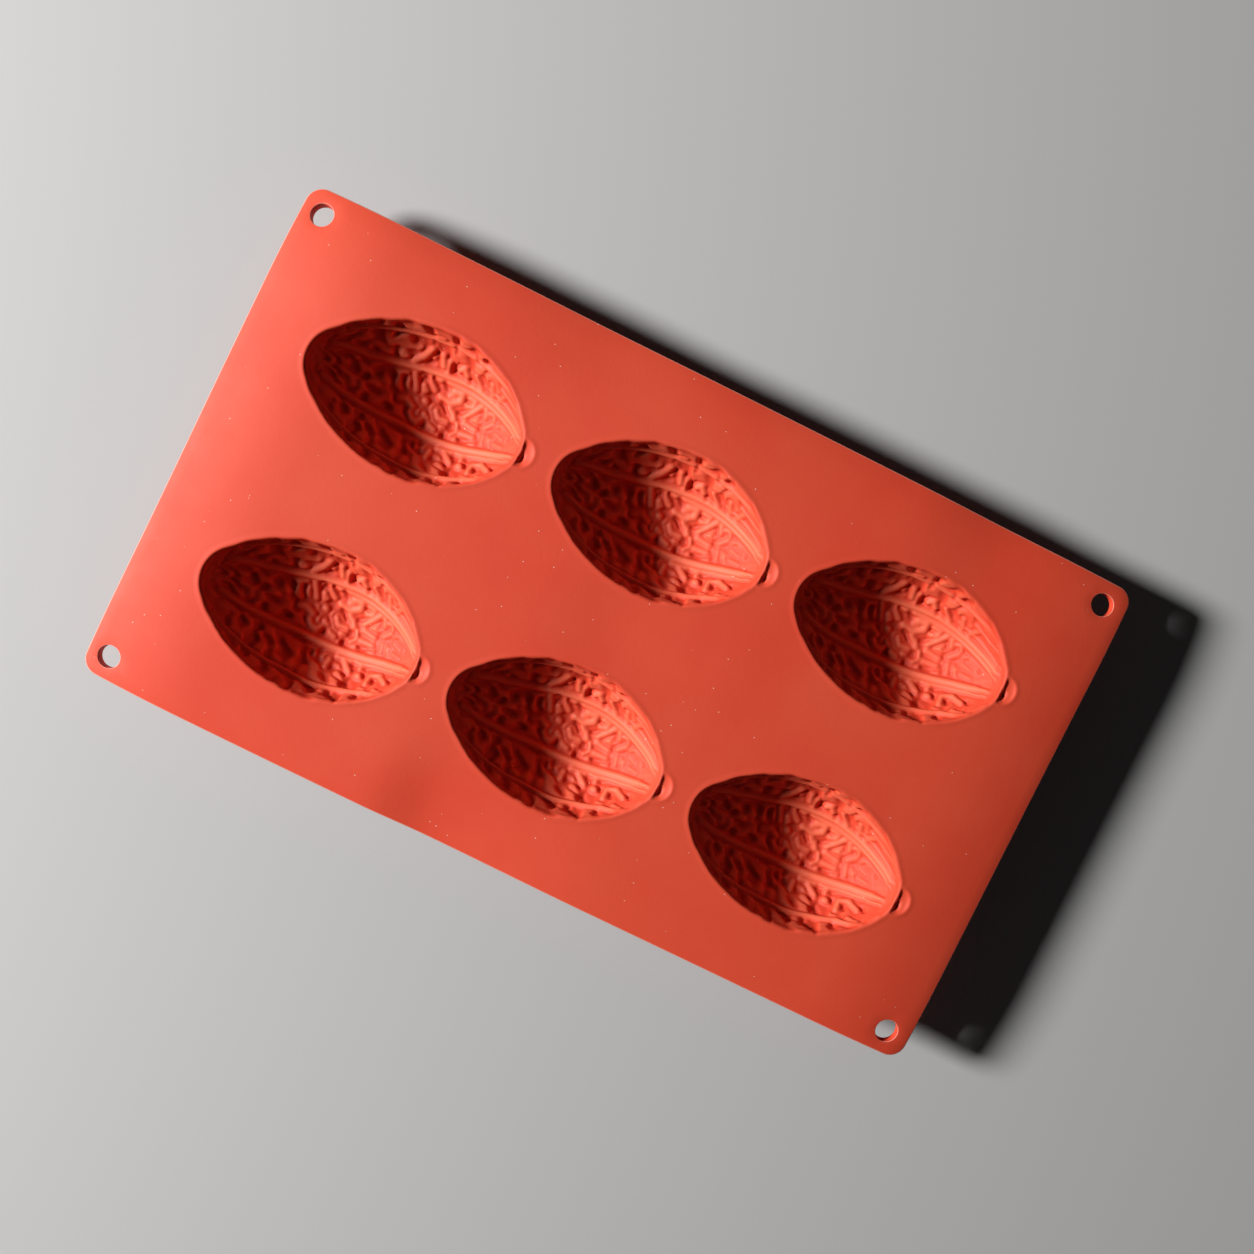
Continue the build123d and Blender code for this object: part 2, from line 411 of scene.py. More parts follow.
PITS = strokes(StrokeKind.PIT, (
    (1.1, 0.7, ((33.3, 10.4), (34.2, 10.0))), (0.9, 0.7, ((37.1, 10.7), (37.6, 10.3))),
    (0.9, 0.8, ((41.0, 10.9), (42.0, 9.6))), (1.2, 0.9, ((41.9, 16.6), (42.2, 15.2))),
    (0.9, 0.9, ((42.6, 4.3), (44.8, 2.4))), (1.0, 0.8, ((39.6, -3.8), (39.9, -5.2))),
    (1.0, 0.9, ((46.6, -4.0), (47.1, -5.6))), (0.9, 0.8, ((35.0, 18.2), (35.8, 16.4))),
    (0.8, 0.6, ((48.6, 15.0), (48.9, 14.4))), (0.7, 0.6, ((54.2, -9.8), (55.9, -11.3))),
    (0.8, 0.8, ((63.3, -10.9), (63.7, -11.8))), (0.8, 0.8, ((68.2, -8.4), (69.0, -8.9))),
    (0.8, 0.8, ((68.4, -11.6), (69.2, -12.2))), (0.8, 0.6, ((59.1, -10.4), (59.6, -12.0))),
    (0.8, 0.7, ((63.8, -15.6), (65.2, -15.7))), (0.9, 0.8, ((53.0, -14.2), (56.2, -16.6))),
    (1.2, 0.9, ((51.8, -20.8), (54.2, -21.4))), (0.6, 0.5, ((64.0, 4.2), (64.4, 4.4))),
    (0.6, 0.5, ((68.4, 2.6), (68.6, 2.2))), (0.8, 0.6, ((56.6, 5.8), (57.0, 4.2))),
    (0.8, 0.6, ((33.4, 21.4), (33.5, 20.2))), (0.8, 0.6, ((41.0, 22.6), (41.3, 20.8))),
    (0.8, 0.5, ((49.2, 22.0), (49.6, 20.6))), (0.8, 0.5, ((60.6, -17.1), (61.6, -17.5))),
))

STROKES = FOLDS + RIBS + PITS


@dataclass
class ReliefMap:
    """The wrinkled skin of the pod as a height over its wall, on a grid of path and turn.

    The grid's rows follow the path from the tip, and its columns follow the pod's girth at its
    widest place, so that wrinkles draw together towards both ends.

    Attributes:
        profile: The pod's profile.
        size: Rows and columns of the grid, with the pod's underside in its middle column.
        step: Side of one grid cell.
        wrinkle_length: Distance from one wrinkle to the next.
        flank_length: The same on the pod's flanks.
        flank_from: Girth where the flanks' wrinkles start, and where they are alone.
        flank_stretch: How much longer the wrinkles are round the pod's flanks than along it.
        variety: How much the wrinkles' widths differ from one another.
        warp: How far the wrinkles are drawn out of their even pattern.
        warp_length: Size of the places that are drawn the same way.
        fold_edge: How steeply a wrinkle rises out of its crease.
        fold_fullness: How broad its crest is.
        wrinkle_height: How far a wrinkle's crest stands over its creases.
        liveliness: How much that height differs from place to place.
        liveliness_length: Size of the places that differ.
        floor: Height of the creases over the pod's wall.
        deepest: Height of the deepest pit, which leaves enough of the cup's wall under it.
        tip_fade: Path over which the relief grows in from the tip.
        stem_fade: Path left to the stem end where the wrinkles start to fade, and where they are faintest.
        stem_faintness: Share of the wrinkles that is lost there.
        stroke_fade: Path left to the stem end where the strokes start to fade, and where they are gone.
        stroke_growth: How much wider each stroke is than its own half width says, before it is rounded.
        valley_edge: Nearness to a stroke where the wrinkles start to give way to it.
        valley_floor: Height that they come down to beside it.
        crest_growth: How much higher a stroke is made than its own height says.
        crest_lift: What is added to that.
        crest_sink: How far its sides go into the wall.
        crest_fullness: How broad its crest is.
        pit_edge: Nearness to a pit where it starts, and where it has its whole depth.
        farthest_turn: Sine of the largest turn from the underside that a stroke's point may have.
        grain_height: Height of the finest unevenness.
        grain_length: Size of its bumps.
        wave_height: Height of the long low waves at the mouth.
        wave_length: Length of those waves.
        softness: Distance over which every crest and crease is rounded.
        seed: Seed of the wrinkles' pattern.
        path: Path length at each grid point.
        girth: Place round the pod at each grid point, from its underside.
        girth_scale: Girth at each grid point as a share of the widest.
        end: Path length to the stem end.
        heights: Height of the skin at each grid point.
        waves: Height of the long low waves at each grid point.
    """

    profile: PodProfile
    size: int = 512
    step: float = 0.25
    wrinkle_length: float = 5.6
    flank_length: float = 6.8
    flank_from: tuple[float, float] = (12.0, 26.0)
    flank_stretch: float = 2.2
    variety: float = 0.42
    warp: float = 1.3
    warp_length: float = 8.0
    fold_edge: float = 1.25
    fold_fullness: float = 1.5
    wrinkle_height: float = 1.5
    liveliness: float = 0.22
    liveliness_length: float = 12.0
    floor: float = -0.75
    deepest: float = -1.25
    tip_fade: tuple[float, float] = (2.0, 16.0)
    stem_fade: tuple[float, float] = (30.0, 14.0)
    stem_faintness: float = 0.9
    stroke_fade: tuple[float, float] = (8.0, 1.0)
    stroke_growth: float = 1.15
    valley_edge: float = -0.7
    valley_floor: float = -0.25
    crest_growth: float = 1.15
    crest_lift: float = 0.1
    crest_sink: float = 0.35
    crest_fullness: float = 0.8
    pit_edge: tuple[float, float] = (-0.4, 0.9)
    farthest_turn: float = 0.995
    grain_height: float = 0.02
    grain_length: float = 2.4
    wave_height: float = 0.34
    wave_length: float = 9.0
    softness: float = 0.33
    seed: int = 11
    path: np.ndarray = field(init=False)
    girth: np.ndarray = field(init=False)
    girth_scale: np.ndarray = field(init=False)
    end: float = field(init=False)
    heights: np.ndarray = field(init=False)
    waves: np.ndarray = field(init=False)

    def __post_init__(self) -> None:
        """Work out the heights once."""
        count = np.arange(self.size)
        self.path, self.girth = np.meshgrid(
            count * self.step, (count - self.size / 2) * self.step, indexing="ij")
        self.end = self.profile.path_marks[-1]
        along = np.linspace(0.0, self.profile.length, AXIS_SAMPLES)
        radius = self.profile.radius(along)
        _, marks = self.profile.pod(along, radius)
        local = np.maximum(np.interp(self.path, marks, radius), NARROWEST)
        self.girth_scale = local / self.profile.half_width
        self.heights = self.blurred(self.combined(), self.softness)
        low_waves = self.wave_height * self.smooth_noise(self.wave_length, self.seed + 5)
        self.waves = low_waves * smooth_step(self.path, *self.tip_fade)

    def blurred(self, values: np.ndarray, length: float) -> np.ndarray:
        """Smooth a grid and wrap it round its edges.

        Args:
            values: The grid's values.
            length: Length that it is smoothed over.

        Returns:
            The smoothed values.
        """
        wave = np.fft.fftfreq(self.size, self.step)
        squared = wave[:, None] ** 2 + wave[None, :] ** 2
        return np.real(np.fft.ifft2(np.fft.fft2(values) * np.exp(-2 * (math.pi * length) ** 2 * squared)))

    def smooth_noise(self, length: float, seed: int) -> np.ndarray:
        """Make wrapped noise.

        Args:
            length: Size of its features.
            seed: Its seed.

        Returns:
            Values between about -1 and 1 at each grid point.
        """
        rng = np.random.default_rng(seed)
        noise = self.blurred(rng.normal(size=(self.size, self.size)), length / 4)
        return noise / (NOISE_SPAN * noise.std())

    def wrinkles(self) -> np.ndarray:
        """Make irregular folded lumps.

        Returns:
            Values from 0 in a crease to 1 on a crest, at each grid point.
        """
        rng = np.random.default_rng(self.seed)
        wave = np.fft.fftfreq(self.size, self.step)
        spectrum = np.fft.fft2(rng.normal(size=(self.size, self.size)))
        patterns = []
        for stretch, length in ((1.0, self.wrinkle_length), (self.flank_stretch, self.flank_length)):
            pitch = np.hypot(wave[:, None], wave[None, :] * stretch) * length
            band = np.exp(-(((pitch - 1.0) / self.variety) ** 2))
            patterns.append(np.real(np.fft.ifft2(spectrum * band)))
        middle, flank = patterns
        share = smooth_step(np.abs(self.girth), *self.flank_from)
        pattern = (1.0 - share) * middle / middle.std() + share * flank / flank.std()
        shift = self.warp / self.step
        rows, columns = np.meshgrid(np.arange(self.size), np.arange(self.size), indexing="ij")
        rows = rows + shift * self.smooth_noise(self.warp_length, self.seed + 1)
        columns = columns + shift * self.smooth_noise(self.warp_length, self.seed + 2)
        pattern = sample_wrapped(pattern, rows, columns)
        share = 0.5 + 0.5 * np.tanh(self.fold_edge * pattern / pattern.std())
        return 1.0 - (1.0 - share) ** self.fold_fullness

    def nearness(self, stroke: Stroke) -> np.ndarray:
        """Return how near each grid point is to a stroke's middle line.

        Args:
            stroke: The stroke to measure against.

        Returns:
            1 on the middle line, 0 at the stroke's edge and less beyond it.
        """
        points = np.array(stroke.points, float)
        limit = self.profile.radius(points[:, 0])
        sine = points[:, 1] / np.maximum(limit, LEAST_RADIUS)
        girth = np.arcsin(np.clip(sine, -self.farthest_turn, self.farthest_turn)) * self.profile.half_width
        _, marks = self.profile.pod(points[:, 0], limit)
        nearest = np.full(self.path.shape, np.inf)
        for start in range(len(points) - 1):
            run = marks[start + 1] - marks[start]
            lift = girth[start + 1] - girth[start]
            from_start = self.path - marks[start]
            side = self.girth - girth[start]
            share = np.clip((from_start * run + side * lift) / (run**2 + lift**2), 0.0, 1.0)
            gap = np.hypot(from_start - share * run, (side - share * lift) * self.girth_scale)
            nearest = np.minimum(nearest, gap)
        return 1.0 - nearest / (self.stroke_growth * stroke.half_width)

    def combined(self) -> np.ndarray:
        """Lay the folds, ribs and pits over the wrinkles.

        Returns:
            Height of the skin over the pod's wall, at each grid point.
        """
        lively = 1.0 + self.liveliness * self.smooth_noise(self.liveliness_length, self.seed + 3)
        tip = smooth_step(self.path, *self.tip_fade)
        skin = self.floor + self.wrinkles() * self.wrinkle_height * lively
        left = [self.end - reach for reach in self.stem_fade]
        skin *= tip * (1.0 - self.stem_faintness * smooth_step(self.path, *left))
        raising = [stroke for stroke in STROKES if stroke.kind is not StrokeKind.PIT]
        for stroke in raising:
            valley = smooth_step(self.nearness(stroke), self.valley_edge, 0.0)
            skin = skin * (1.0 - valley) + np.minimum(skin, self.valley_floor) * valley
        raised = np.full(skin.shape, -1.0)
        left = [self.end - reach for reach in self.stroke_fade]
        stem = 1.0 - smooth_step(self.path, *left)
        for stroke in raising:
            near = self.nearness(stroke)
            roundness = (1.0 - (1.0 - np.clip(near, 0.0, 1.0)) ** 2) ** self.crest_fullness
            height = self.crest_growth * stroke.height + self.crest_lift
            crest = height * tip * stem * roundness - self.crest_sink
            raised = np.where(near > 0, np.maximum(raised, crest), raised)
        relief = np.maximum(skin, raised)
        for stroke in STROKES:
            if stroke.kind is StrokeKind.PIT:
                relief -= stroke.height * smooth_step(self.nearness(stroke), *self.pit_edge)
        relief = np.maximum(relief, self.deepest)
        return relief + self.grain_height * self.smooth_noise(self.grain_length, self.seed + 4)

    def at(self, path: np.ndarray, angle: np.ndarray, calm: np.ndarray) -> np.ndarray:
        """Return the relief's height.

        Args:
            path: Path length along the pod's profile.
            angle: Angle about its axis, from straight down.
            calm: Share of the wrinkles that gives way to long low waves, as at the mouth.

        Returns:
            The height over the pod's wall.
        """
        columns = angle * self.profile.half_width / self.step + self.size / 2
        fine = sample_wrapped(self.heights, path / self.step, columns)
        broad = sample_wrapped(self.waves, path / self.step, columns)
        return fine * (1.0 - calm) + broad * calm


def sample_wrapped(values: np.ndarray, rows: np.ndarray, columns: np.ndarray) -> np.ndarray:
    """Read a grid between its points, blending the four nearest and wrapping round its edges.

    Args:
        values: The grid's values.
        rows: Row of each place that is read.
        columns: Column of each place that is read.

    Returns:
        The value at each place.
    """
    row = np.floor(rows).astype(int)
    column = np.floor(columns).astype(int)
    down = rows - row
    right = columns - column
    height, width = values.shape
    first, second = row % height, (row + 1) % height
    left, beside = column % width, (column + 1) % width
    upper = values[first, left] * (1 - right) + values[first, beside] * right
    lower = values[second, left] * (1 - right) + values[second, beside] * right
    return upper * (1 - down) + lower * down


@dataclass
class PodSolid:
    """The silicone round one pod: the sheet above, the cup's wall, its foot and the rounded lip.

    Attributes:
        profile: The hollow's profile.
        relief: The wrinkled skin of the hollow.
        sheet: Thickness of the sheet.
        wall: Thickness of the cup's wall.
        depth: Distance from the sheet's top to the foot.
        lip_round: Radius of the mouth's rounded edge.
        lip_height: How far the lip round the mouth stands over the sheet.
        lip_width: Width of that lip.
        under_round: Radius of the fillet between the cup and the sheet's underside.
        foot_round: Radius of the foot's rounded edge.
        rim_calm: Share of the wrinkles that is lost at the mouth, at the stem's half of the pod.
        tip_calm: The same at the tip's half.
        rim_depth: Depth below the sheet's top where that starts.
        calm_from: Distance from the tip where the tip's half gives way to the stem's, and where it has.
        skin_reach: Distance from the hollow's wall within which the relief is worked out.
        stem_fade: Length over which the relief ends at the stem.
        lip_depth: Depth below the sheet's top down to which the lip is worked out.
        cup_top: Depth of the cup's upper end, as a share of the sheet's thickness.
    """

    profile: PodProfile
    relief: ReliefMap
    sheet: float = 3.0
    wall: float = 2.0
    depth: float = 25.85
    lip_round: float = 1.1
    lip_height: float = 0.17
    lip_width: float = 2.6
    under_round: float = 1.5
    foot_round: float = 0.8
    rim_calm: float = 0.72
    tip_calm: float = 0.95
    rim_depth: float = 6.0
    calm_from: tuple[float, float] = (30.0, 46.0)
    skin_reach: float = 4.0
    stem_fade: float = 3.0
    lip_depth: float = 1.0
    cup_top: float = 0.97

    def skin(self, s: np.ndarray, t: np.ndarray, z: np.ndarray) -> tuple[np.ndarray, np.ndarray]:
        """Measure points against the hollow.

        Args:
            s: Distance along the pod's axis from its tip.
            t: Distance across from the axis.
            z: Height over the sheet's top, negative below it.

        Returns:
            Signed distance to the smooth hollow, and the relief's height there.
        """
        hollow, path = self.profile.hollow(s, t, z)
        near = np.abs(hollow) < self.skin_reach
        height = np.zeros(hollow.shape)
        angle = np.arctan2(t[near], -z[near])
        end = self.profile.length
        fade = 1.0 - smooth_step(s[near], end - self.stem_fade, end)
        share = smooth_step(s[near], *self.calm_from)
        calm = self.tip_calm + (self.rim_calm - self.tip_calm) * share
        calm = calm * smooth_step(z[near], -self.rim_depth, 0.0)
        height[near] = self.relief.at(path[near], angle, calm) * fade
        return hollow, height

    def distance(self, s: np.ndarray, t: np.ndarray, z: np.ndarray) -> np.ndarray:
        """Measure points against the silicone.

        Args:
            s: Distance along the pod's axis from its tip.
            t: Distance across from the axis.
            z: Height over the sheet's top, negative below it.

        Returns:
            Signed distance to its surface, negative inside it.
        """
        hollow, height = self.skin(s, t, z)
        near_top = z > -self.lip_depth
        lip = np.zeros(z.shape)
        beside = self.profile.plan(s[near_top], t[near_top])
        lip[near_top] = self.lip_height * (1.0 - smooth_step(beside, 0.0, self.lip_width))
        slab = np.maximum(z - lip, -z - self.sheet)
        cup = np.maximum(self.profile.wall_hollow(s, t, z) - self.wall, z + self.cup_top * self.sheet)
        solid = round_union(slab, cup, self.under_round)
        solid = round_intersection(solid, -self.depth - z, self.foot_round)
        return round_intersection(solid, -(hollow + height), self.lip_round)


@dataclass
class SurfaceNet:
    """Turns a distance field into a closed mesh of small quads that lie on its zero surface.

    Attributes:
        low: Lowest corner of the sampled box.
        high: Highest corner of the sampled box.
        step: Side of one cell.
        nudge: Distance over which the field's slope is taken.
        rounds: How often the points are moved towards the surface.
        least_strength: Squared slope below which a move isn't made longer.
        longest_move: Longest move as a share of a cell.
    """

    low: tuple[float, float, float]
    high: tuple[float, float, float]
    step: float = 0.40
    nudge: float = 0.04
    rounds: int = 3
    least_strength: float = 0.25
    longest_move: float = 0.5

    def build(self, solid: PodSolid) -> tuple[np.ndarray, np.ndarray]:
        """Return the mesh's points and quads.

        Args:
            solid: The solid whose surface is wanted.

        Returns:
            Points as rows of three numbers, and quads as rows of four point numbers.
        """
        axes = [np.arange(a, b, self.step) for a, b in zip(self.low, self.high)]
        grid = np.meshgrid(*axes, indexing="ij")
        values = solid.distance(*grid)
        inside = values < 0
        counts = np.zeros([n - 1 for n in values.shape], np.int8)
        corners = [(i, j, k) for i in (0, 1) for j in (0, 1) for k in (0, 1)]
        for corner in corners:
            counts += shifted(inside, corner)
        mixed = (counts > 0) & (counts < len(corners))
        count = int(mixed.sum())
        numbers = np.full(mixed.shape, -1, np.int64)
        numbers[mixed] = np.arange(count)
        total = np.zeros((count, 3))
        crossings = np.zeros(count)
        quads = []
        for axis in range(3):
            for first in (c for c in corners if c[axis] == 0):
                second = tuple(v + (i == axis) for i, v in enumerate(first))
                a = shifted(values, first)[mixed]
                b = shifted(values, second)[mixed]
                crosses = (a < 0) != (b < 0)
                share = np.where(crosses, a / np.where(crosses, a - b, 1.0), 0.0)
                place = np.array(first, float) + share[:, None] * (np.arange(3) == axis)
                total += place * crosses[:, None]
                crossings += crosses
            quads.append(self.quads_across(inside, numbers, axis))
        cells = np.argwhere(mixed)
        points = np.array(self.low) + self.step * (cells + total / crossings[:, None])
        return self.settled(solid, points), np.vstack(quads)

    @staticmethod
    def quads_across(inside: np.ndarray, numbers: np.ndarray, axis: int) -> np.ndarray:
        """Make the quads that cross the grid's edges along one axis.

        Args:
            inside: True at the grid's points inside the solid.
            numbers: Number of each cell's point, or -1.
            axis: The axis.

        Returns:
            Quads that face outwards, as rows of four point numbers.
        """
        order = [axis, (axis + 1) % 3, (axis + 2) % 3]
        solid = np.transpose(inside, order)
        cells = np.transpose(numbers, order)
        before = solid[:-1, 1:-1, 1:-1]
        after = solid[1:, 1:-1, 1:-1]
        ring = [cells[:, :-1, :-1], cells[:, 1:, :-1], cells[:, 1:, 1:], cells[:, :-1, 1:]]
        leaving = before & ~after
        entering = ~before & after
        out = np.stack([r[leaving] for r in ring], axis=1)
        into = np.stack([r[entering] for r in reversed(ring)], axis=1)
        return np.vstack([out, into])

    def settled(self, solid: PodSolid, points: np.ndarray) -> np.ndarray:
        """Move the points along the field's slope until they lie on the surface.

        Args:
            solid: The solid whose surface is wanted.
            points: The points to move.

        Returns:
            The moved points.
        """
        for _ in range(self.rounds):
            value = solid.distance(*points.T)
            slope = np.empty_like(points)
            for axis in range(3):
                offset = self.nudge * (np.arange(3) == axis)
                ahead = solid.distance(*(points + offset).T)
                behind = solid.distance(*(points - offset).T)
                slope[:, axis] = (ahead - behind) / (2 * self.nudge)
            strength = np.maximum((slope**2).sum(axis=1), self.least_strength)
            move = slope * (value / strength)[:, None]
            longest = self.longest_move * self.step
            points = points - np.clip(move, -longest, longest)
        return points


def shifted(values: np.ndarray, corner: tuple[int, int, int]) -> np.ndarray:
    """Return the grid's values at one corner of every cell."""
    return values[tuple(slice(c, n - 1 + c) for c, n in zip(corner, values.shape))]


def mesh_from(name: str, points: np.ndarray, faces: list) -> bpy.types.Mesh:
    """Make a smooth-shaded mesh.

    Args:
        name: Its name.
        points: Its points, in millimetres.
        faces: The point numbers of each face.

    Returns:
        The mesh, in metres.
    """
    mesh = bpy.data.meshes.new(name)
    mesh.from_pydata((np.asarray(points) * MM).tolist(), [], [list(f) for f in faces])
    mesh.shade_smooth()
    return mesh


def object_from(name: str, mesh: bpy.types.Mesh) -> bpy.types.Object:
    """Put a mesh in the scene as an object at the origin.

    Args:
        name: Name of the object.
        mesh: Its mesh.

    Returns:
        The object.
    """
    made = bpy.data.objects.new(name, mesh)
    bpy.context.scene.collection.objects.link(made)
    return made


@dataclass
class PodModule:
    """One pod's part of the moulding, in two pieces: its cup, and its mouth in the sheet.

    Attributes:
        solid: The distance field that both are taken from.
        seam: Height of the seam under the sheet's top.
        top_margin: Width of the flat ring that goes with the mouth on the sheet's top.
        under_margin: Width of the flat ring that goes with the mouth on the sheet's underside.
        side_margin: How far the sampled box goes past that ring.
        end_margin: How far it goes past the foot and the sheet's top.
        crest_reach: Distance from the hollow's skin within which a point carries its relief height, which
            the finish uses for painted highlight and painted shade.
    """

    solid: PodSolid
    seam: float = -3.05
    top_margin: float = 3.6
    under_margin: float = 4.4
    side_margin: float = 1.5
    end_margin: float = 0.9
    crest_reach: float = 0.3

    def build(self) -> tuple[bpy.types.Mesh, bpy.types.Mesh]:
        """Return the cup's mesh and the mouth's mesh, with the pod's tip at the origin."""
        reach = self.under_margin + self.side_margin
        profile = self.solid.profile
        end = profile.stem_start + profile.lobe_radius
        side = profile.half_width + reach
        lowest = -self.solid.depth - self.end_margin
        net = SurfaceNet((-reach, -side, lowest), (end + reach, side, self.end_margin))
        points, quads = net.build(self.solid)
        log.info("pod surface: %d points, %d quads", len(points), len(quads))
        plan = profile.plan(points[:, 0], points[:, 1])
        upper = points[:, 2] > -self.solid.sheet / 2
        outside = plan > np.where(upper, self.top_margin, self.under_margin)
        kept = quads[~outside[quads].any(axis=1)]
        whole = mesh_from("pod_surface", points, kept)
        hollow, height = self.solid.skin(*points.T)
        # The relief height stored here drives the finish's painted highlight on crests and painted shade in
        # creases.
        crest = np.where(np.abs(hollow + height) < self.crest_reach, height, 0.0)
        whole.attributes.new("crest", "FLOAT", "POINT").data.foreach_set("value", crest)
        return self.half(whole, "cup", True), self.half(whole, "mouth", False)

    def half(self, whole: bpy.types.Mesh, name: str, below: bool) -> bpy.types.Mesh:
        """Cut the surface at the seam and close the cut.

        Args:
            whole: The surface of the cup and the mouth together.
            name: Name of the new mesh.
            below: True to keep what is under the seam.

        Returns:
            The kept part, with a flat face at the seam whose edges are sharp.
        """
        cut = bmesh.new()
        cut.from_mesh(whole)
        everything = cut.verts[:] + cut.edges[:] + cut.faces[:]
        made = bmesh.ops.bisect_plane(
            cut, geom=everything, dist=SEAM_TOLERANCE, plane_co=(0, 0, self.seam * MM),
            plane_no=(0, 0, 1), clear_outer=below, clear_inner=not below)
        rim = [e for e in made["geom_cut"] if isinstance(e, bmesh.types.BMEdge)]
        filled = bmesh.ops.triangle_fill(cut, edges=rim, use_beauty=True, normal=(0, 0, 1 if below else -1))
        faces = [f for f in filled["geom"] if isinstance(f, bmesh.types.BMFace)]
        for face in faces:
            face.smooth = True
            if (face.normal.z > 0) != below:
                face.normal_flip()
        for edge in rim:
            edge.smooth = False
        mesh = bpy.data.meshes.new(name)
        loose = [v for v in cut.verts if not v.link_faces]
        bmesh.ops.delete(cut, geom=loose, context="VERTS")
        cut.to_mesh(mesh)
        cut.free()
        return mesh


# Nodes
@dataclass
class NodeKit:
    """Adds nodes to a tree and joins them.

    Attributes:
        tree: The tree that is built.
    """

    tree: bpy.types.NodeTree

    def join(self, value: object, target: bpy.types.NodeSocket) -> None:
        """Link a socket to an input, or set the input to a plain value.

        Args:
            value: The socket or the value.
            target: The input.
        """
        if isinstance(value, bpy.types.NodeSocket):
            self.tree.links.new(value, target)
        else:
            target.default_value = value

    def node(
            self, kind: str, inputs: dict[str | int, object] | None = None,
            **settings: object) -> bpy.types.Node:
        """Add a node.

        Args:
            kind: The node's type.
            inputs: What goes into its inputs, by their names or numbers.
            **settings: Its other properties.

        Returns:
            The new node.
        """
        made = self.tree.nodes.new(kind)
        for key, value in settings.items():
            setattr(made, key, value)
        for key, value in (inputs or {}).items():
            self.join(value, made.inputs[key])
        return made

    def math(self, operation: str, *values: object) -> bpy.types.NodeSocket:
        """Add a Math node whose inputs are sockets or numbers, and return its output."""
        return self.node("ShaderNodeMath", dict(enumerate(values)), operation=operation).outputs[0]


class MaterialKit(NodeKit):
    """Adds the nodes of a material or of the world."""

    def noise(self, place: bpy.types.NodeSocket, scale: float, detail: float) -> bpy.types.NodeSocket:
        """Add a noise texture, and return its value."""
        inputs = {"Scale": scale, "Detail": detail, "Vector": place}
        return self.node("ShaderNodeTexNoise", inputs).outputs["Fac"]

    def attribute(self, name: str) -> bpy.types.NodeSocket:
        """Return the value of a mesh's attribute."""
        return self.node("ShaderNodeAttribute", attribute_name=name).outputs["Fac"]

    def mix(self, share: object, first: object, second: object) -> bpy.types.NodeSocket:
        """Blend two colours by a share, and return the blend."""
        inputs = {"Factor": share, FIRST_COLOUR: first, SECOND_COLOUR: second}
        return self.node("ShaderNodeMix", inputs, data_type="RGBA").outputs[BLENDED_COLOUR]

    def camera_ray(self) -> bpy.types.NodeSocket:
        """Return 1 for a ray that comes straight from the camera, and 0 for others."""
        return self.node("ShaderNodeLightPath").outputs["Is Camera Ray"]

    def finish_with(self, output: str, share: object, first: object, second: object) -> None:
        """Send a blend of two shaders to the output.

        Args:
            output: Name of the output node.
            share: How much of the second shader is taken.
            first: The first shader.
            second: The second shader.
        """
        blend = self.node("ShaderNodeMixShader", {"Fac": share, 1: first, 2: second})
        self.join(blend.outputs["Shader"], self.tree.nodes[output].inputs["Surface"])


class GeometryTree(NodeKit):
    """A Geometry Nodes tree with named inputs, built in the script and run on a mesh."""

    def __init__(self, name: str) -> None:
        """Make the empty tree with its geometry sockets.

        Args:
            name: Name of the tree.
        """
        super().__init__(bpy.data.node_groups.new(name, "GeometryNodeTree"))
        for way in ("INPUT", "OUTPUT"):
            self.tree.interface.new_socket("Geometry", in_out=way, socket_type="NodeSocketGeometry")
        self.start = self.node("NodeGroupInput")
        self.end = self.node("NodeGroupOutput")
        self.identifiers: dict[str, str] = {}

    def add_input(self, name: str, kind: str) -> bpy.types.NodeSocket:
        """Add a named input.

        Args:
            name: Name of the input.
            kind: Type of its socket.

        Returns:
            Its socket inside the tree.
        """
        made = self.tree.interface.new_socket(name, in_out="INPUT", socket_type=kind)
        self.identifiers[name] = made.identifier
        return self.start.outputs[name]

    def run(self, source: bpy.types.Object, values: dict[str, object], name: str) -> bpy.types.Mesh:
        """Run the tree on an object and return the result as a plain mesh.

        Args:
            source: Object whose mesh goes in.
            values: Values of the named inputs.
            name: Name of the new mesh.

        Returns:
            The realized mesh. The modifier is taken off the source again.
        """
        modifier = source.modifiers.new(self.tree.name, "NODES")
        modifier.node_group = self.tree
        for key, value in values.items():
            modifier[self.identifiers[key]] = value
        source.update_tag()
        graph = bpy.context.evaluated_depsgraph_get()
        mesh = bpy.data.meshes.new_from_object(
            source.evaluated_get(graph), preserve_all_data_layers=True, depsgraph=graph)
        mesh.name = name
        source.modifiers.remove(modifier)
        return mesh


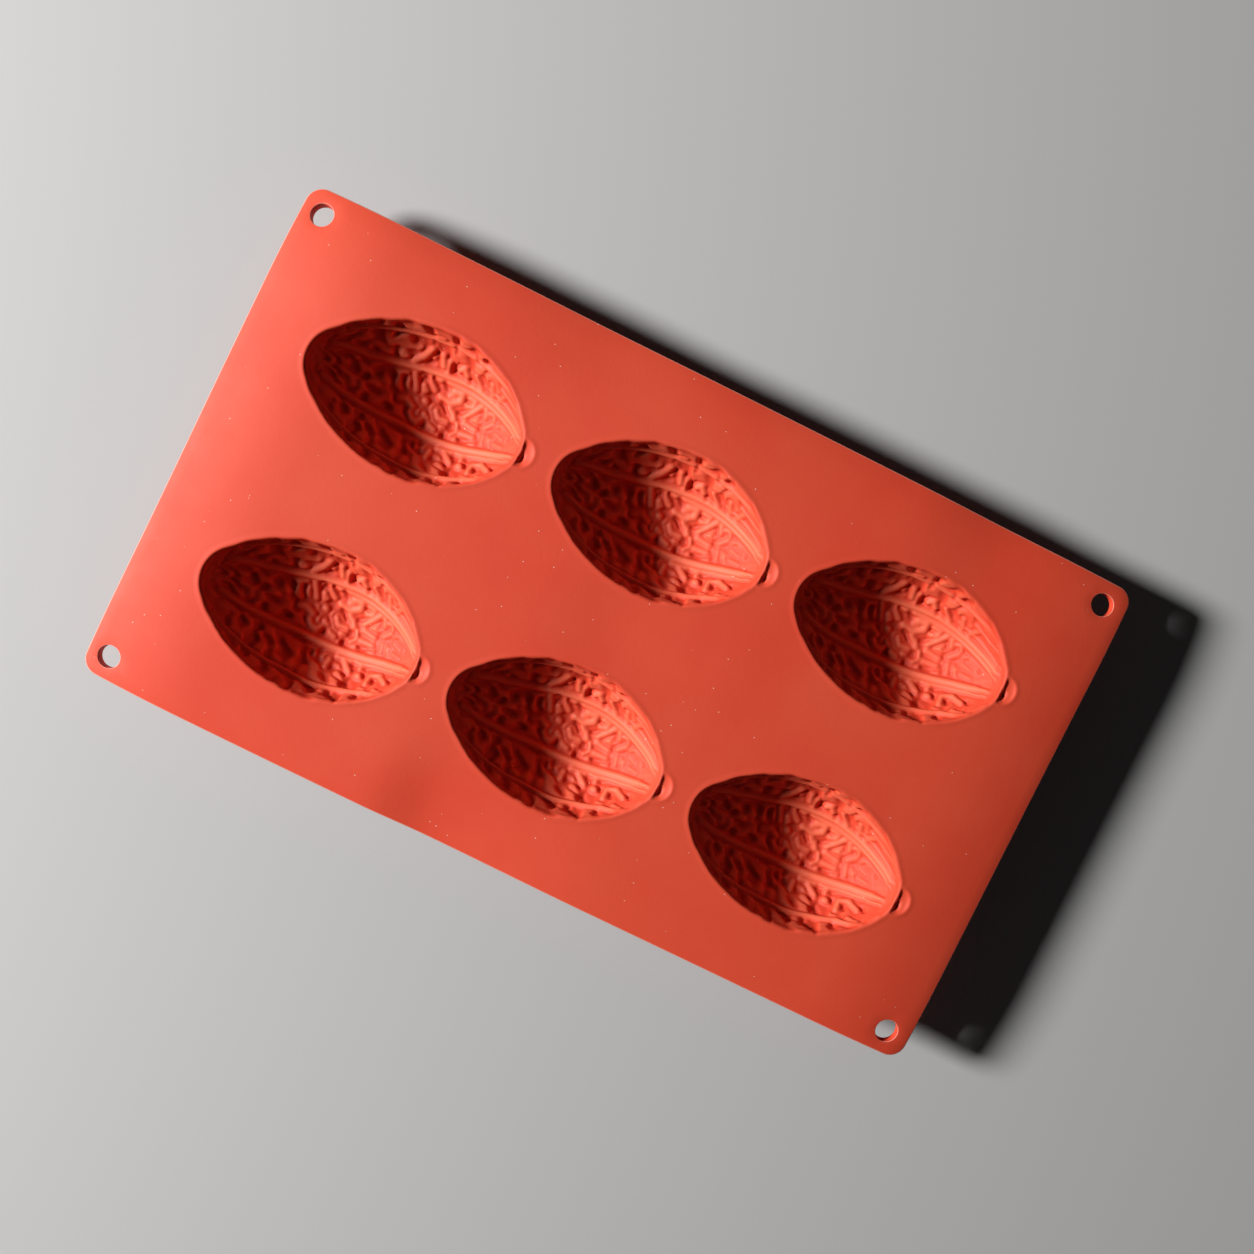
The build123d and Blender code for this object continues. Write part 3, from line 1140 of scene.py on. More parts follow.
class RepeatTree(GeometryTree):
    """Repeats a mesh on a lattice of columns and rows, from the rear left place forwards."""

    def __init__(self) -> None:
        """Build the tree."""
        super().__init__("repeat_on_lattice")
        columns = self.add_input("Columns", "NodeSocketInt")
        rows = self.add_input("Rows", "NodeSocketInt")
        pitch_x = self.add_input("Pitch X", "NodeSocketFloat")
        pitch_y = self.add_input("Pitch Y", "NodeSocketFloat")
        first = self.add_input("First Place", "NodeSocketVector")
        material = self.add_input("Material", "NodeSocketMaterial")
        index = self.node("GeometryNodeInputIndex").outputs[0]
        column = self.math("MODULO", index, columns)
        row = self.math("FLOOR", self.math("DIVIDE", index, columns))
        along = self.math("MULTIPLY", column, pitch_x)
        across = self.math("MULTIPLY", self.math("MULTIPLY", row, pitch_y), -1.0)
        offset = self.node("ShaderNodeCombineXYZ", {0: along, 1: across})
        place = self.node("ShaderNodeVectorMath", {0: offset.outputs[0], 1: first}, operation="ADD")
        count = self.math("MULTIPLY", columns, rows)
        points = self.node("GeometryNodePoints", {"Count": count, "Position": place.outputs[0]})
        shape = {"Points": points.outputs[0], "Instance": self.start.outputs["Geometry"]}
        instances = self.node("GeometryNodeInstanceOnPoints", shape)
        realize = self.node("GeometryNodeRealizeInstances", {0: instances.outputs[0]})
        dressed = {"Geometry": realize.outputs[0], "Material": material}
        finish = self.node("GeometryNodeSetMaterial", dressed)
        self.join(finish.outputs[0], self.end.inputs["Geometry"])


# Sheet
@dataclass
class SheetSizes:
    """Sizes of the flat sheet, taken from its node's box where that gives them.

    Attributes:
        length: Length of the sheet.
        width: Width of the sheet.
        thickness: Its thickness.
        corner_radius: Radius of its corners, seen from above.
        edge_round: Radius of its rounded outer edge.
        hole_radius: Radius of each corner hole.
        hole_inset: Distance of the holes' middles from the sheet's edges.
        hole_offset: How far all four holes lie off those places, along and across.
        hole_round: Radius of the holes' rounded edges.
        mesh_spacing: Distance between the points of the sheet's faces.
    """

    length: float
    width: float
    thickness: float = 3.0
    corner_radius: float = 5.5
    edge_round: float = 0.45
    hole_radius: float = 3.85
    hole_inset: float = 8.0
    hole_offset: tuple[float, float] = (-0.54, -0.26)
    hole_round: float = 0.2
    mesh_spacing: float = 4.0


@dataclass(frozen=True)
class Sag:
    """A shallow wave in the sheet that falls off steeply on one side and rises slowly again.

    Attributes:
        x: Middle of the steep side.
        y: Place of the wave's deepest line across the sheet.
        steep: Half length of the steep side.
        slow: Length of the slow side.
        reach: How far the wave goes across the sheet.
        depth: Depth of the wave.
    """

    x: float
    y: float
    steep: float
    slow: float
    reach: float
    depth: float

    def drop(self, x: np.ndarray, y: np.ndarray) -> np.ndarray:
        """Measure the wave.

        Args:
            x: Places along the sheet.
            y: Places across it.

        Returns:
            How far it takes each place down.
        """
        fall = smooth_step(x, self.x - self.steep, self.x + self.steep)
        rise = 1.0 - smooth_step(x, self.x + self.steep, self.x + self.slow)
        return self.depth * fall * rise * np.exp(-(((y - self.y) / self.reach) ** 2))


@dataclass
class Droop:
    """How the limp moulding hangs beyond its cups and waves between them, in millimetres.

    Attributes:
        rest_x: Half length of the middle area that the cups hold flat.
        rest_y: Half width of that area.
        half_length: Half length of the sheet.
        half_width: Half width of the sheet.
        corners: How far each corner hangs, as rear left, rear right, front left, front right.
        power: How sharply the droop starts.
        sags: Shallow waves.
        stiff_height: Height of the seam, below which a cup's wall moves ever less.
        corner_shifts: How far each corner has crept along and across, in the corners' order.
        end_share: Share of a corner's hang that comes from the hang of its end.
        side_share: Share that comes from the hang of its side.
        nudge: Distance over which the hang's slope is taken.
    """

    rest_x: float = 113.0
    rest_y: float = 54.0
    half_length: float = 150.0
    half_width: float = 87.5
    corners: tuple[float, float, float, float] = (8.0, 5.0, 6.0, 4.5)
    power: float = 2.1
    sags: tuple[Sag, ...] = (
        Sag(-38, -88, 12, 70, 30, 2.0),
        Sag(88, 88, 16, 70, 30, 1.6),
        Sag(-12, 0, 14, 60, 26, 0.7),
        Sag(-60, 88, 18, 60, 22, 0.8),
    )
    stiff_height: float = 22.0
    corner_shifts: tuple[tuple[float, float], ...] = (
        (0.6, 0.0), (0.6, -0.7), (-0.7, 1.2), (-0.1, -0.4))
    end_share: float = 0.6
    side_share: float = 0.4
    nudge: float = 0.05

    def sway(self, x: np.ndarray, y: np.ndarray) -> tuple[np.ndarray, np.ndarray]:
        """Measure how far the corners have crept sideways.

        Args:
            x: Places along the sheet.
            y: Places across it.

        Returns:
            How far each place has crept, along the sheet and across it.
        """
        share_x = np.clip(np.abs(x) / self.half_length, 0, 1) ** 2
        share = share_x * np.clip(np.abs(y) / self.half_width, 0, 1) ** 2
        rear, right = y > 0, x >= 0
        places = [rear & ~right, rear & right, ~rear & ~right, ~rear & right]
        along, across = (
            sum(np.where(place, shift[axis], 0.0) for place, shift in zip(places, self.corner_shifts))
            for axis in (0, 1))
        return share * along, share * across

    def drop(self, x: np.ndarray, y: np.ndarray) -> np.ndarray:
        """Measure the hang.

        Args:
            x: Places along the sheet.
            y: Places across it.

        Returns:
            How far each place hangs below its flat place.
        """
        along = np.clip((np.abs(x) - self.rest_x) / (self.half_length - self.rest_x), 0, None)
        across = np.clip((np.abs(y) - self.rest_y) / (self.half_width - self.rest_y), 0, None)
        right = np.clip(0.5 + x / (2 * self.half_length), 0, 1)
        rear = np.clip(0.5 + y / (2 * self.half_width), 0, 1)
        rear_left, rear_right, front_left, front_right = self.corners
        right_end = rear_right * rear + front_right * (1 - rear)
        left_end = rear_left * rear + front_left * (1 - rear)
        rear_side = rear_right * right + rear_left * (1 - right)
        front_side = front_right * right + front_left * (1 - right)
        end = np.where(x > 0, right_end, left_end)
        side = np.where(y > 0, rear_side, front_side)
        hang = self.end_share * end * along**self.power + self.side_share * side * across**self.power
        return hang + sum(sag.drop(x, y) for sag in self.sags)

    def bend(self, points: np.ndarray, middle: float) -> np.ndarray:
        """Hang points of the moulding, keeping the sheet's thickness square to its face.

        Args:
            points: Points in the part's frame, in millimetres.
            middle: Height of the sheet's middle plane.

        Returns:
            The moved points.
        """
        x, y, z = points.T
        nudge = self.nudge
        slope_x = (self.drop(x + nudge, y) - self.drop(x - nudge, y)) / (2 * nudge)
        slope_y = (self.drop(x, y + nudge) - self.drop(x, y - nudge)) / (2 * nudge)
        share = smooth_step(z, 0.0, self.stiff_height)
        above = np.maximum(z - middle, self.stiff_height - middle) * share
        sway_x, sway_y = self.sway(x, y)
        moved_x = x + above * slope_x + sway_x * share
        moved_y = y + above * slope_y + sway_y * share
        return np.stack([moved_x, moved_y, z - self.drop(x, y) * share], axis=1)

    def bend_mesh(self, mesh: bpy.types.Mesh, middle: float) -> None:
        """Hang a mesh of the moulding.

        Args:
            mesh: The mesh, in metres in the part's frame.
            middle: Height of the sheet's middle plane, in millimetres.
        """
        points = np.empty(len(mesh.vertices) * 3)
        mesh.vertices.foreach_get("co", points)
        bent = self.bend(points.reshape(-1, 3) / MM, middle)
        mesh.vertices.foreach_set("co", (bent * MM).ravel())
        mesh.update()


def sides(triangle: list[int]) -> list[tuple[int, int]]:
    """Return a triangle's sides, each as its lower and its higher point number."""
    return [(min(a, b), max(a, b)) for a, b in zip(triangle, triangle[1:] + triangle[:1])]


@dataclass
class TopSheet:
    """The flat sheet between the mouths: its faces, round edge and corner holes.

    Attributes:
        sizes: The sheet's sizes.
        top: Height of its upper face.
        tips: Place of each pod's tip.
        mouth: The mesh of one mouth, with its pod's tip at the origin.
        profile: The pods' profile.
        droop: How the sheet hangs.
        arc_steps: Points on each corner of the outline.
        hole_steps: Points round each corner hole.
        round_steps: Steps of a rounded edge.
        mouth_clear: Distance that the inner points keep from every mouth.
        edge_clear: Distance that they keep from the holes and the corners.
        edge_highlight_share: Share of a rounded edge that takes the painted edge highlight.
        weld: Distance within which the parts' points become one.
    """

    sizes: SheetSizes
    top: float
    tips: list[Vector]
    mouth: bpy.types.Mesh
    profile: PodProfile
    droop: Droop
    arc_steps: int = 10
    hole_steps: int = 48
    round_steps: int = 4
    mouth_clear: float = 6.0
    edge_clear: float = 2.0
    edge_highlight_share: float = 0.8
    weld: float = 0.004

    def outline(self, inset: float) -> np.ndarray:
        """Return the sheet's outline, anticlockwise, always with as many points.

        Args:
            inset: How far it is moved inwards.

        Returns:
            Its points, seen from above.
        """
        s = self.sizes
        radius = s.corner_radius
        centre_x, centre_y = s.length / 2 - radius, s.width / 2 - radius
        reach = radius - inset
        points = []
        for quarter, (sign_x, sign_y) in enumerate(((1, 1), (-1, 1), (-1, -1), (1, -1))):
            for turn in np.linspace(0, math.pi / 2, self.arc_steps):
                angle = quarter * math.pi / 2 + turn
                x = sign_x * centre_x + reach * math.cos(angle)
                points.append((x, sign_y * centre_y + reach * math.sin(angle)))
        corners = np.array(points)
        ring = []
        for number, point in enumerate(corners):
            ring.append(point)
            follower = corners[(number + 1) % len(corners)]
            if (number + 1) % self.arc_steps == 0:
                run = s.width if number // self.arc_steps % 2 else s.length
                pieces = int(run / s.mesh_spacing)
                ring.extend(point + (follower - point) * i / pieces for i in range(1, pieces))
        return np.array(ring)

    def circle(self, centre: tuple[float, float], radius: float) -> np.ndarray:
        """Return points on a circle, anticlockwise."""
        angles = np.linspace(0, 2 * math.pi, self.hole_steps, endpoint=False)
        return np.stack([centre[0] + radius * np.cos(angles), centre[1] + radius * np.sin(angles)], axis=1)

    def edge_rings(self, rounding: float) -> list[tuple[float, float]]:
        """Divide a wall with rounded edges into rings.

        Args:
            rounding: Radius of the rounded edges.

        Returns:
            Inset and depth of each ring, from the top face to the underside.
        """
        quarter = [i / self.round_steps * math.pi / 2 for i in range(self.round_steps + 1)]
        upper = [(rounding * (1 - math.sin(a)), -rounding * (1 - math.cos(a))) for a in quarter]
        return upper + [(inset, -self.sizes.thickness - depth) for inset, depth in reversed(upper)]

    def hole_centres(self) -> list[tuple[float, float]]:
        """Return the centres of the four corner holes, row by row from the rear left."""
        x = self.sizes.length / 2 - self.sizes.hole_inset
        y = self.sizes.width / 2 - self.sizes.hole_inset
        offset_x, offset_y = self.sizes.hole_offset
        return [(sx * x + offset_x, sy * y + offset_y) for sy in (1, -1) for sx in (-1, 1)]

    def wall(
            self, rounding: float, ring: Callable[[float], np.ndarray],
            inward: bool) -> tuple[np.ndarray, list]:
        """Return an upright wall with rounded edges.

        Args:
            rounding: Radius of the rounded edges.
            ring: Gives the wall's outline for an inset.
            inward: True where the wall faces its own middle, as in a hole.

        Returns:
            The wall's points and quads.
        """
        rings = []
        for inset, depth in self.edge_rings(rounding):
            flat = ring(inset)
            rings.append(np.column_stack([flat, np.full(len(flat), self.top + depth)]))
        count = len(rings[0])
        faces = []
        for level in range(len(rings) - 1):
            for i in range(count):
                near = level * count + i
                beside = level * count + (i + 1) % count
                quad = [near, near + count, beside + count, beside]
                faces.append(quad[::-1] if inward else quad)
        return np.vstack(rings), faces

    def band(self) -> tuple[np.ndarray, list]:
        """Return the sheet's rounded outer edge."""
        return self.wall(self.sizes.edge_round, self.outline, False)

    def hole_wall(self) -> tuple[np.ndarray, list]:
        """Return the wall of one corner hole, about the origin."""
        radius = self.sizes.hole_radius
        return self.wall(self.sizes.hole_round, lambda inset: self.circle((0, 0), radius + inset), True)

    def mouth_loops(self, upper: bool) -> list[tuple[np.ndarray, list]]:
        """Return the outer edge of every mouth's flat ring, on the top face or the underside.

        Args:
            upper: True for the top face.

        Returns:
            For each pod, plan points and the pairs of them that are joined.
        """
        uses = Counter(key for polygon in self.mouth.polygons for key in polygon.edge_keys)
        middle = -self.sizes.thickness / 2 * MM
        vertices = self.mouth.vertices
        rim = [k for k, count in uses.items() if count == 1 and (vertices[k[0]].co.z > middle) == upper]
        numbers = sorted({v for key in rim for v in key})
        lookup = {v: i for i, v in enumerate(numbers)}
        flat = np.array([vertices[v].co[:2] for v in numbers]) / MM
        pairs = [(lookup[a], lookup[b]) for a, b in rim]
        return [(flat + np.array(tip[:2]), pairs) for tip in self.tips]

    def face(self, upper: bool) -> tuple[np.ndarray, list]:
        """Return the flat face between the outer edge, the holes and the mouths.

        Args:
            upper: True for the top face, False for the underside.

        Returns:
            The face's points and triangles.
        """
        s = self.sizes
        loops = [(self.outline(s.edge_round), [])]
        loops += [(self.circle(centre, s.hole_radius + s.hole_round), []) for centre in self.hole_centres()]
        loops += self.mouth_loops(upper)
        points: list[np.ndarray] = []
        edges: list[tuple[int, int]] = []
        start = 0
        for loop, pairs in loops:
            count = len(loop)
            chosen = pairs or [(i, (i + 1) % count) for i in range(count)]
            edges.extend((start + a, start + b) for a, b in chosen)
            points.append(loop)
            start += count
        points.append(self.inner_points())
        found = delaunay_2d_cdt([Vector(p) for p in np.vstack(points)], edges, [], 0, SAME_PLACE)
        height = self.top if upper else self.top - s.thickness
        placed = np.array([(v.x, v.y, height) for v in found[0]])
        return placed, [t if upper else t[::-1] for t in self.reached(found)]

    def corner_reach(self, x: np.ndarray, y: np.ndarray) -> np.ndarray:
        """Measure how far places lie out in the sheet's corners.

        Args:
            x: Places along the sheet.
            y: Places across it.

        Returns:
            Distance from the centre of the corner's round, and 0 away from the corners.
        """
        s = self.sizes
        corner_x = np.maximum(np.abs(x) - (s.length / 2 - s.corner_radius), 0)
        corner_y = np.maximum(np.abs(y) - (s.width / 2 - s.corner_radius), 0)
        return np.hypot(corner_x, corner_y)

    def inner_points(self) -> np.ndarray:
        """Make the grid of points inside the flat face.

        Returns:
            The points that are clear of every edge, seen from above.
        """
        s = self.sizes
        step = s.mesh_spacing
        reach_x, reach_y = s.length / 2 - step, s.width / 2 - step
        x, y = np.meshgrid(np.arange(-reach_x, reach_x, step), np.arange(-reach_y, reach_y, step))
        x, y = x.ravel(), y.ravel()
        free = self.corner_reach(x, y) < s.corner_radius - self.edge_clear
        for tip in self.tips:
            free &= self.profile.plan(x - tip.x, y - tip.y) > self.mouth_clear
        for centre in self.hole_centres():
            free &= np.hypot(x - centre[0], y - centre[1]) > s.hole_radius + self.edge_clear
        return np.column_stack([x, y])[free]

    @staticmethod
    def reached(found: tuple) -> list:
        """Keep the triangles that can be reached from the sheet's middle without crossing an edge.

        Args:
            found: What the triangulation returned.

        Returns:
            The kept triangles.
        """
        vertices, edges, triangles, _, origins = found[:5]
        walls = {(min(edge), max(edge)) for edge, origin in zip(edges, origins) if origin}
        owners: dict[tuple[int, int], list[int]] = {}
        for number, triangle in enumerate(triangles):
            for side in sides(triangle):
                owners.setdefault(side, []).append(number)
        centres = np.array([np.mean([vertices[v][:] for v in t], axis=0) for t in triangles])
        first = int(np.argmin(np.hypot(centres[:, 0], centres[:, 1])))
        seen = {first}
        waiting = deque([first])
        while waiting:
            open_sides = [side for side in sides(triangles[waiting.popleft()]) if side not in walls]
            for other in (number for side in open_sides for number in owners[side]):
                if other not in seen:
                    seen.add(other)
                    waiting.append(other)
        return [triangles[i] for i in sorted(seen)]

    def mark_highlight_edges(self, mesh: bpy.types.Mesh) -> None:
        """Mark the upper outer edge and the holes' upper edges for the finish's painted highlight.

        Args:
            mesh: The flat sheet's mesh.
        """
        s = self.sizes
        flat = np.empty(len(mesh.vertices) * 3)
        mesh.vertices.foreach_get("co", flat)
        x, y, z = flat.reshape(-1, 3).T / MM
        # Painted highlight: a thin band along these upper edges is painted paler, standing in for the light
        # that the rounded edges catch.
        highlight_band = self.edge_highlight_share * s.edge_round
        edge = (self.corner_reach(x, y) > s.corner_radius - highlight_band) & (z > self.top - highlight_band)
        highlight_band = self.edge_highlight_share * s.hole_round
        for centre in self.hole_centres():
            near = np.hypot(x - centre[0], y - centre[1]) < s.hole_radius + highlight_band
            edge |= near & (z > self.top - highlight_band)
        mesh.attributes.new("painted_edge_highlight", "FLOAT", "POINT").data.foreach_set("value", edge.astype(float))

    def build(self, repeat: RepeatTree, material: bpy.types.Material) -> bpy.types.Object:
        """Return the whole sheet as one closed piece.

        Args:
            repeat: Tree that repeats the mouths and the holes.
            material: The sheet's finish.

        Returns:
            The sheet's object.
        """
        joined = bmesh.new()
        for points, faces in (self.band(), self.face(True), self.face(False)):
            joined.from_mesh(mesh_from("sheet_part", points, faces))
        hole = mesh_from("hole_wall", *self.hole_wall())
        for mesh, columns, height, places in (
                (self.mouth, POD_COLUMNS, self.top, self.tips),
                (hole, HOLE_COLUMNS, 0.0, self.hole_centres())):
            source = object_from("repeat_source", mesh)
            first, beside, below = places[0], places[1], places[columns]
            values = {
                "Columns": columns, "Rows": ROWS, "Pitch X": (beside[0] - first[0]) * MM,
                "Pitch Y": (first[1] - below[1]) * MM,
                "First Place": Vector((first[0], first[1], height)) * MM, "Material": material,
            }
            joined.from_mesh(repeat.run(source, values, "repeated"))
            bpy.data.objects.remove(source)
        bmesh.ops.remove_doubles(joined, verts=joined.verts[:], dist=self.weld * MM)
        open_edges = sum(e.is_boundary for e in joined.edges)
        log.info("sheet: %d faces, %d open edges", len(joined.faces), open_edges)
        mesh = bpy.data.meshes.new("silicone_sheet")
        joined.to_mesh(mesh)
        joined.free()
        self.mark_highlight_edges(mesh)
        self.droop.bend_mesh(mesh, self.top - self.sizes.thickness / 2)
        mesh.materials.clear()
        mesh.materials.append(material)
        return object_from("silicone_sheet", mesh)


# Finishes
@dataclass(frozen=True)
class SiliconeFinish:
    """Terracotta-red moulded silicone with a satin skin, a little uneven and dusty, with painted highlights
    on its crests and upper edges and painted shade in its creases.

    A scale counts how often a pattern repeats in a metre.

    Attributes:
        colour: Colour of the silicone.
        crease_shade_colour: Painted shade, the darker colour that the creases are blended towards.
        pale: Paler colour that the clouds blend towards, also used as the painted highlight on its crests.
        dust_and_edge_highlight: Colour of the few specks of dust on it, also used as the painted highlight
            on the upper edges.
        refraction: Refractive index of silicone rubber.
        roughness: Mean roughness of its skin.
        roughness_change: How much the roughness changes from place to place.
        clouds: Scale and detail of the faint pale clouds in its colour.
        cloud_share: How strong the clouds are.
        cloud_start: Share of the pale colour where there is no cloud.
        crest_highlight_strength: How much painted highlight, towards the pale colour, it takes for each
            millimetre over the wall.
        crease_shade_strength: How much painted shade it takes for each millimetre over the wall, less than
            0, so that only creases take it.
        edge_highlight_strength: How much the marked upper edges take that colour, as a painted highlight.
        patches: Scale and detail of the changes in roughness.
        grain: Scale and detail of the skin's fine grain.
        grain_strength: Strength of the grain.
        grain_height: Height of the grain, in metres.
        speck_scale: Scale of the cells that may hold a speck.
        speck_size: Radius of a speck as a share of its cell.
        speck_gap: Share of the cells that hold none.
    """

    colour: tuple[float, float, float] = (0.58, 0.046, 0.017)
    crease_shade_colour: tuple[float, float, float] = (0.40, 0.020, 0.006)
    pale: tuple[float, float, float] = (0.70, 0.125, 0.058)
    dust_and_edge_highlight: tuple[float, float, float] = (0.72, 0.45, 0.36)
    refraction: float = 1.41
    roughness: float = 0.64
    roughness_change: float = 0.12
    clouds: tuple[float, float] = (26.0, 3.0)
    cloud_share: float = 0.5
    cloud_start: float = -0.15
    crest_highlight_strength: float = 0.8
    crease_shade_strength: float = -0.4
    edge_highlight_strength: float = 0.42
    patches: tuple[float, float] = (90.0, 4.0)
    grain: tuple[float, float] = (750.0, 2.0)
    grain_strength: float = 0.12
    grain_height: float = 0.0002
    speck_scale: float = 420.0
    speck_size: float = 0.075
    speck_gap: float = 0.89

    def build(self) -> bpy.types.Material:
        """Return the material."""
        material = bpy.data.materials.new("terracotta_silicone")
        material.use_nodes = True
        kit = MaterialKit(material.node_tree)
        shader = material.node_tree.nodes["Principled BSDF"]
        shader.inputs["IOR"].default_value = self.refraction
        place = kit.node("ShaderNodeTexCoord").outputs["Object"]
        kit.join(self.skin(kit, place), shader.inputs["Base Color"])
        patch = kit.noise(place, *self.patches)
        low = self.roughness - self.roughness_change / 2
        kit.join(kit.math("MULTIPLY_ADD", patch, self.roughness_change, low), shader.inputs["Roughness"])
        grain = kit.noise(place, *self.grain)
        relief = {"Strength": self.grain_strength, "Distance": self.grain_height, "Height": grain}
        kit.join(kit.node("ShaderNodeBump", relief).outputs["Normal"], shader.inputs["Normal"])
        return material

    def skin(self, kit: MaterialKit, place: bpy.types.NodeSocket) -> bpy.types.NodeSocket:
        """Return the colour of the skin: clouds, painted highlights on crests and upper edges, painted shade
        in creases, and specks of dust.

        Args:
            kit: Kit of the material that is built.
            place: Place on the object.

        Returns:
            The colour.
        """
        crest = kit.attribute("crest")
        cloudy = kit.noise(place, *self.clouds)
        share = kit.math("MULTIPLY_ADD", cloudy, self.cloud_share, self.cloud_start)
        # Painted highlight: the crests are blended towards the pale colour by their height, on top of the
        # clouds' paler patches.
        share = kit.math("ADD", share, kit.math("MULTIPLY", crest, self.crest_highlight_strength))
        colour = kit.mix(share, (*self.colour, 1), (*self.pale, 1))
        # Painted shade: the creases are darkened by their depth below the wall.
        colour = kit.mix(kit.math("MULTIPLY", crest, self.crease_shade_strength), colour, (*self.crease_shade_colour, 1))
        # Painted highlight: the marked upper edges are blended towards the dust colour.
        edge = kit.math("MULTIPLY", kit.attribute("painted_edge_highlight"), self.edge_highlight_strength)
        colour = kit.mix(edge, colour, (*self.dust_and_edge_highlight, 1))
        return kit.mix(self.speck(kit, place), colour, (*self.dust_and_edge_highlight, 1))

    def speck(self, kit: MaterialKit, place: bpy.types.NodeSocket) -> bpy.types.NodeSocket:
        """Scatter a few tiny specks over the surface.

        Args:
            kit: Kit of the material that is built.
            place: Place on the object.

        Returns:
            1 on a speck and 0 elsewhere.
        """
        cells = kit.node("ShaderNodeTexVoronoi", {"Scale": self.speck_scale, "Vector": place})
        close = kit.math("LESS_THAN", cells.outputs["Distance"], self.speck_size)
        chance = kit.node("ShaderNodeSeparateColor", {0: cells.outputs["Color"]})
        return kit.math("MULTIPLY", close, kit.math("GREATER_THAN", chance.outputs[0], self.speck_gap))


@dataclass(frozen=True)
class FloorFinish:
    """A plain pale tabletop that runs out into an evenly pale backdrop.

    Attributes:
        colour: Colour of the tabletop.
        backdrop: Colour of the backdrop, as the camera sees it.
        roughness: Roughness of the tabletop.
        near: Distance from the mould where the backdrop begins, in metres.
        far: Distance beyond which only the backdrop shows, in metres.
    """

    colour: tuple[float, float, float] = (0.42, 0.415, 0.41)
    backdrop: tuple[float, float, float] = (0.62, 0.615, 0.61)
    roughness: float = 0.9
    near: float = 0.32
    far: float = 0.66

    def build(self) -> bpy.types.Material:
        """Return the material."""
        material = bpy.data.materials.new("pale_floor")
        material.use_nodes = True
        kit = MaterialKit(material.node_tree)
        shader = material.node_tree.nodes["Principled BSDF"]
        shader.inputs["Base Color"].default_value = (*self.colour, 1)
        shader.inputs["Roughness"].default_value = self.roughness
        shader.inputs["Specular IOR Level"].default_value = 0.0
        place = kit.node("ShaderNodeTexCoord").outputs["Object"]
        distance = kit.node("ShaderNodeVectorMath", {0: place}, operation="LENGTH").outputs["Value"]
        span = {"From Min": self.near, "From Max": self.far, "Value": distance}
        away = kit.node("ShaderNodeMapRange", span, interpolation_type="SMOOTHSTEP").outputs["Result"]
        pale = kit.node("ShaderNodeEmission", {"Color": (*self.backdrop, 1)})
        seen = kit.math("MULTIPLY", away, kit.camera_ray())
        kit.finish_with("Material Output", seen, shader.outputs["BSDF"], pale.outputs["Emission"])
        return material


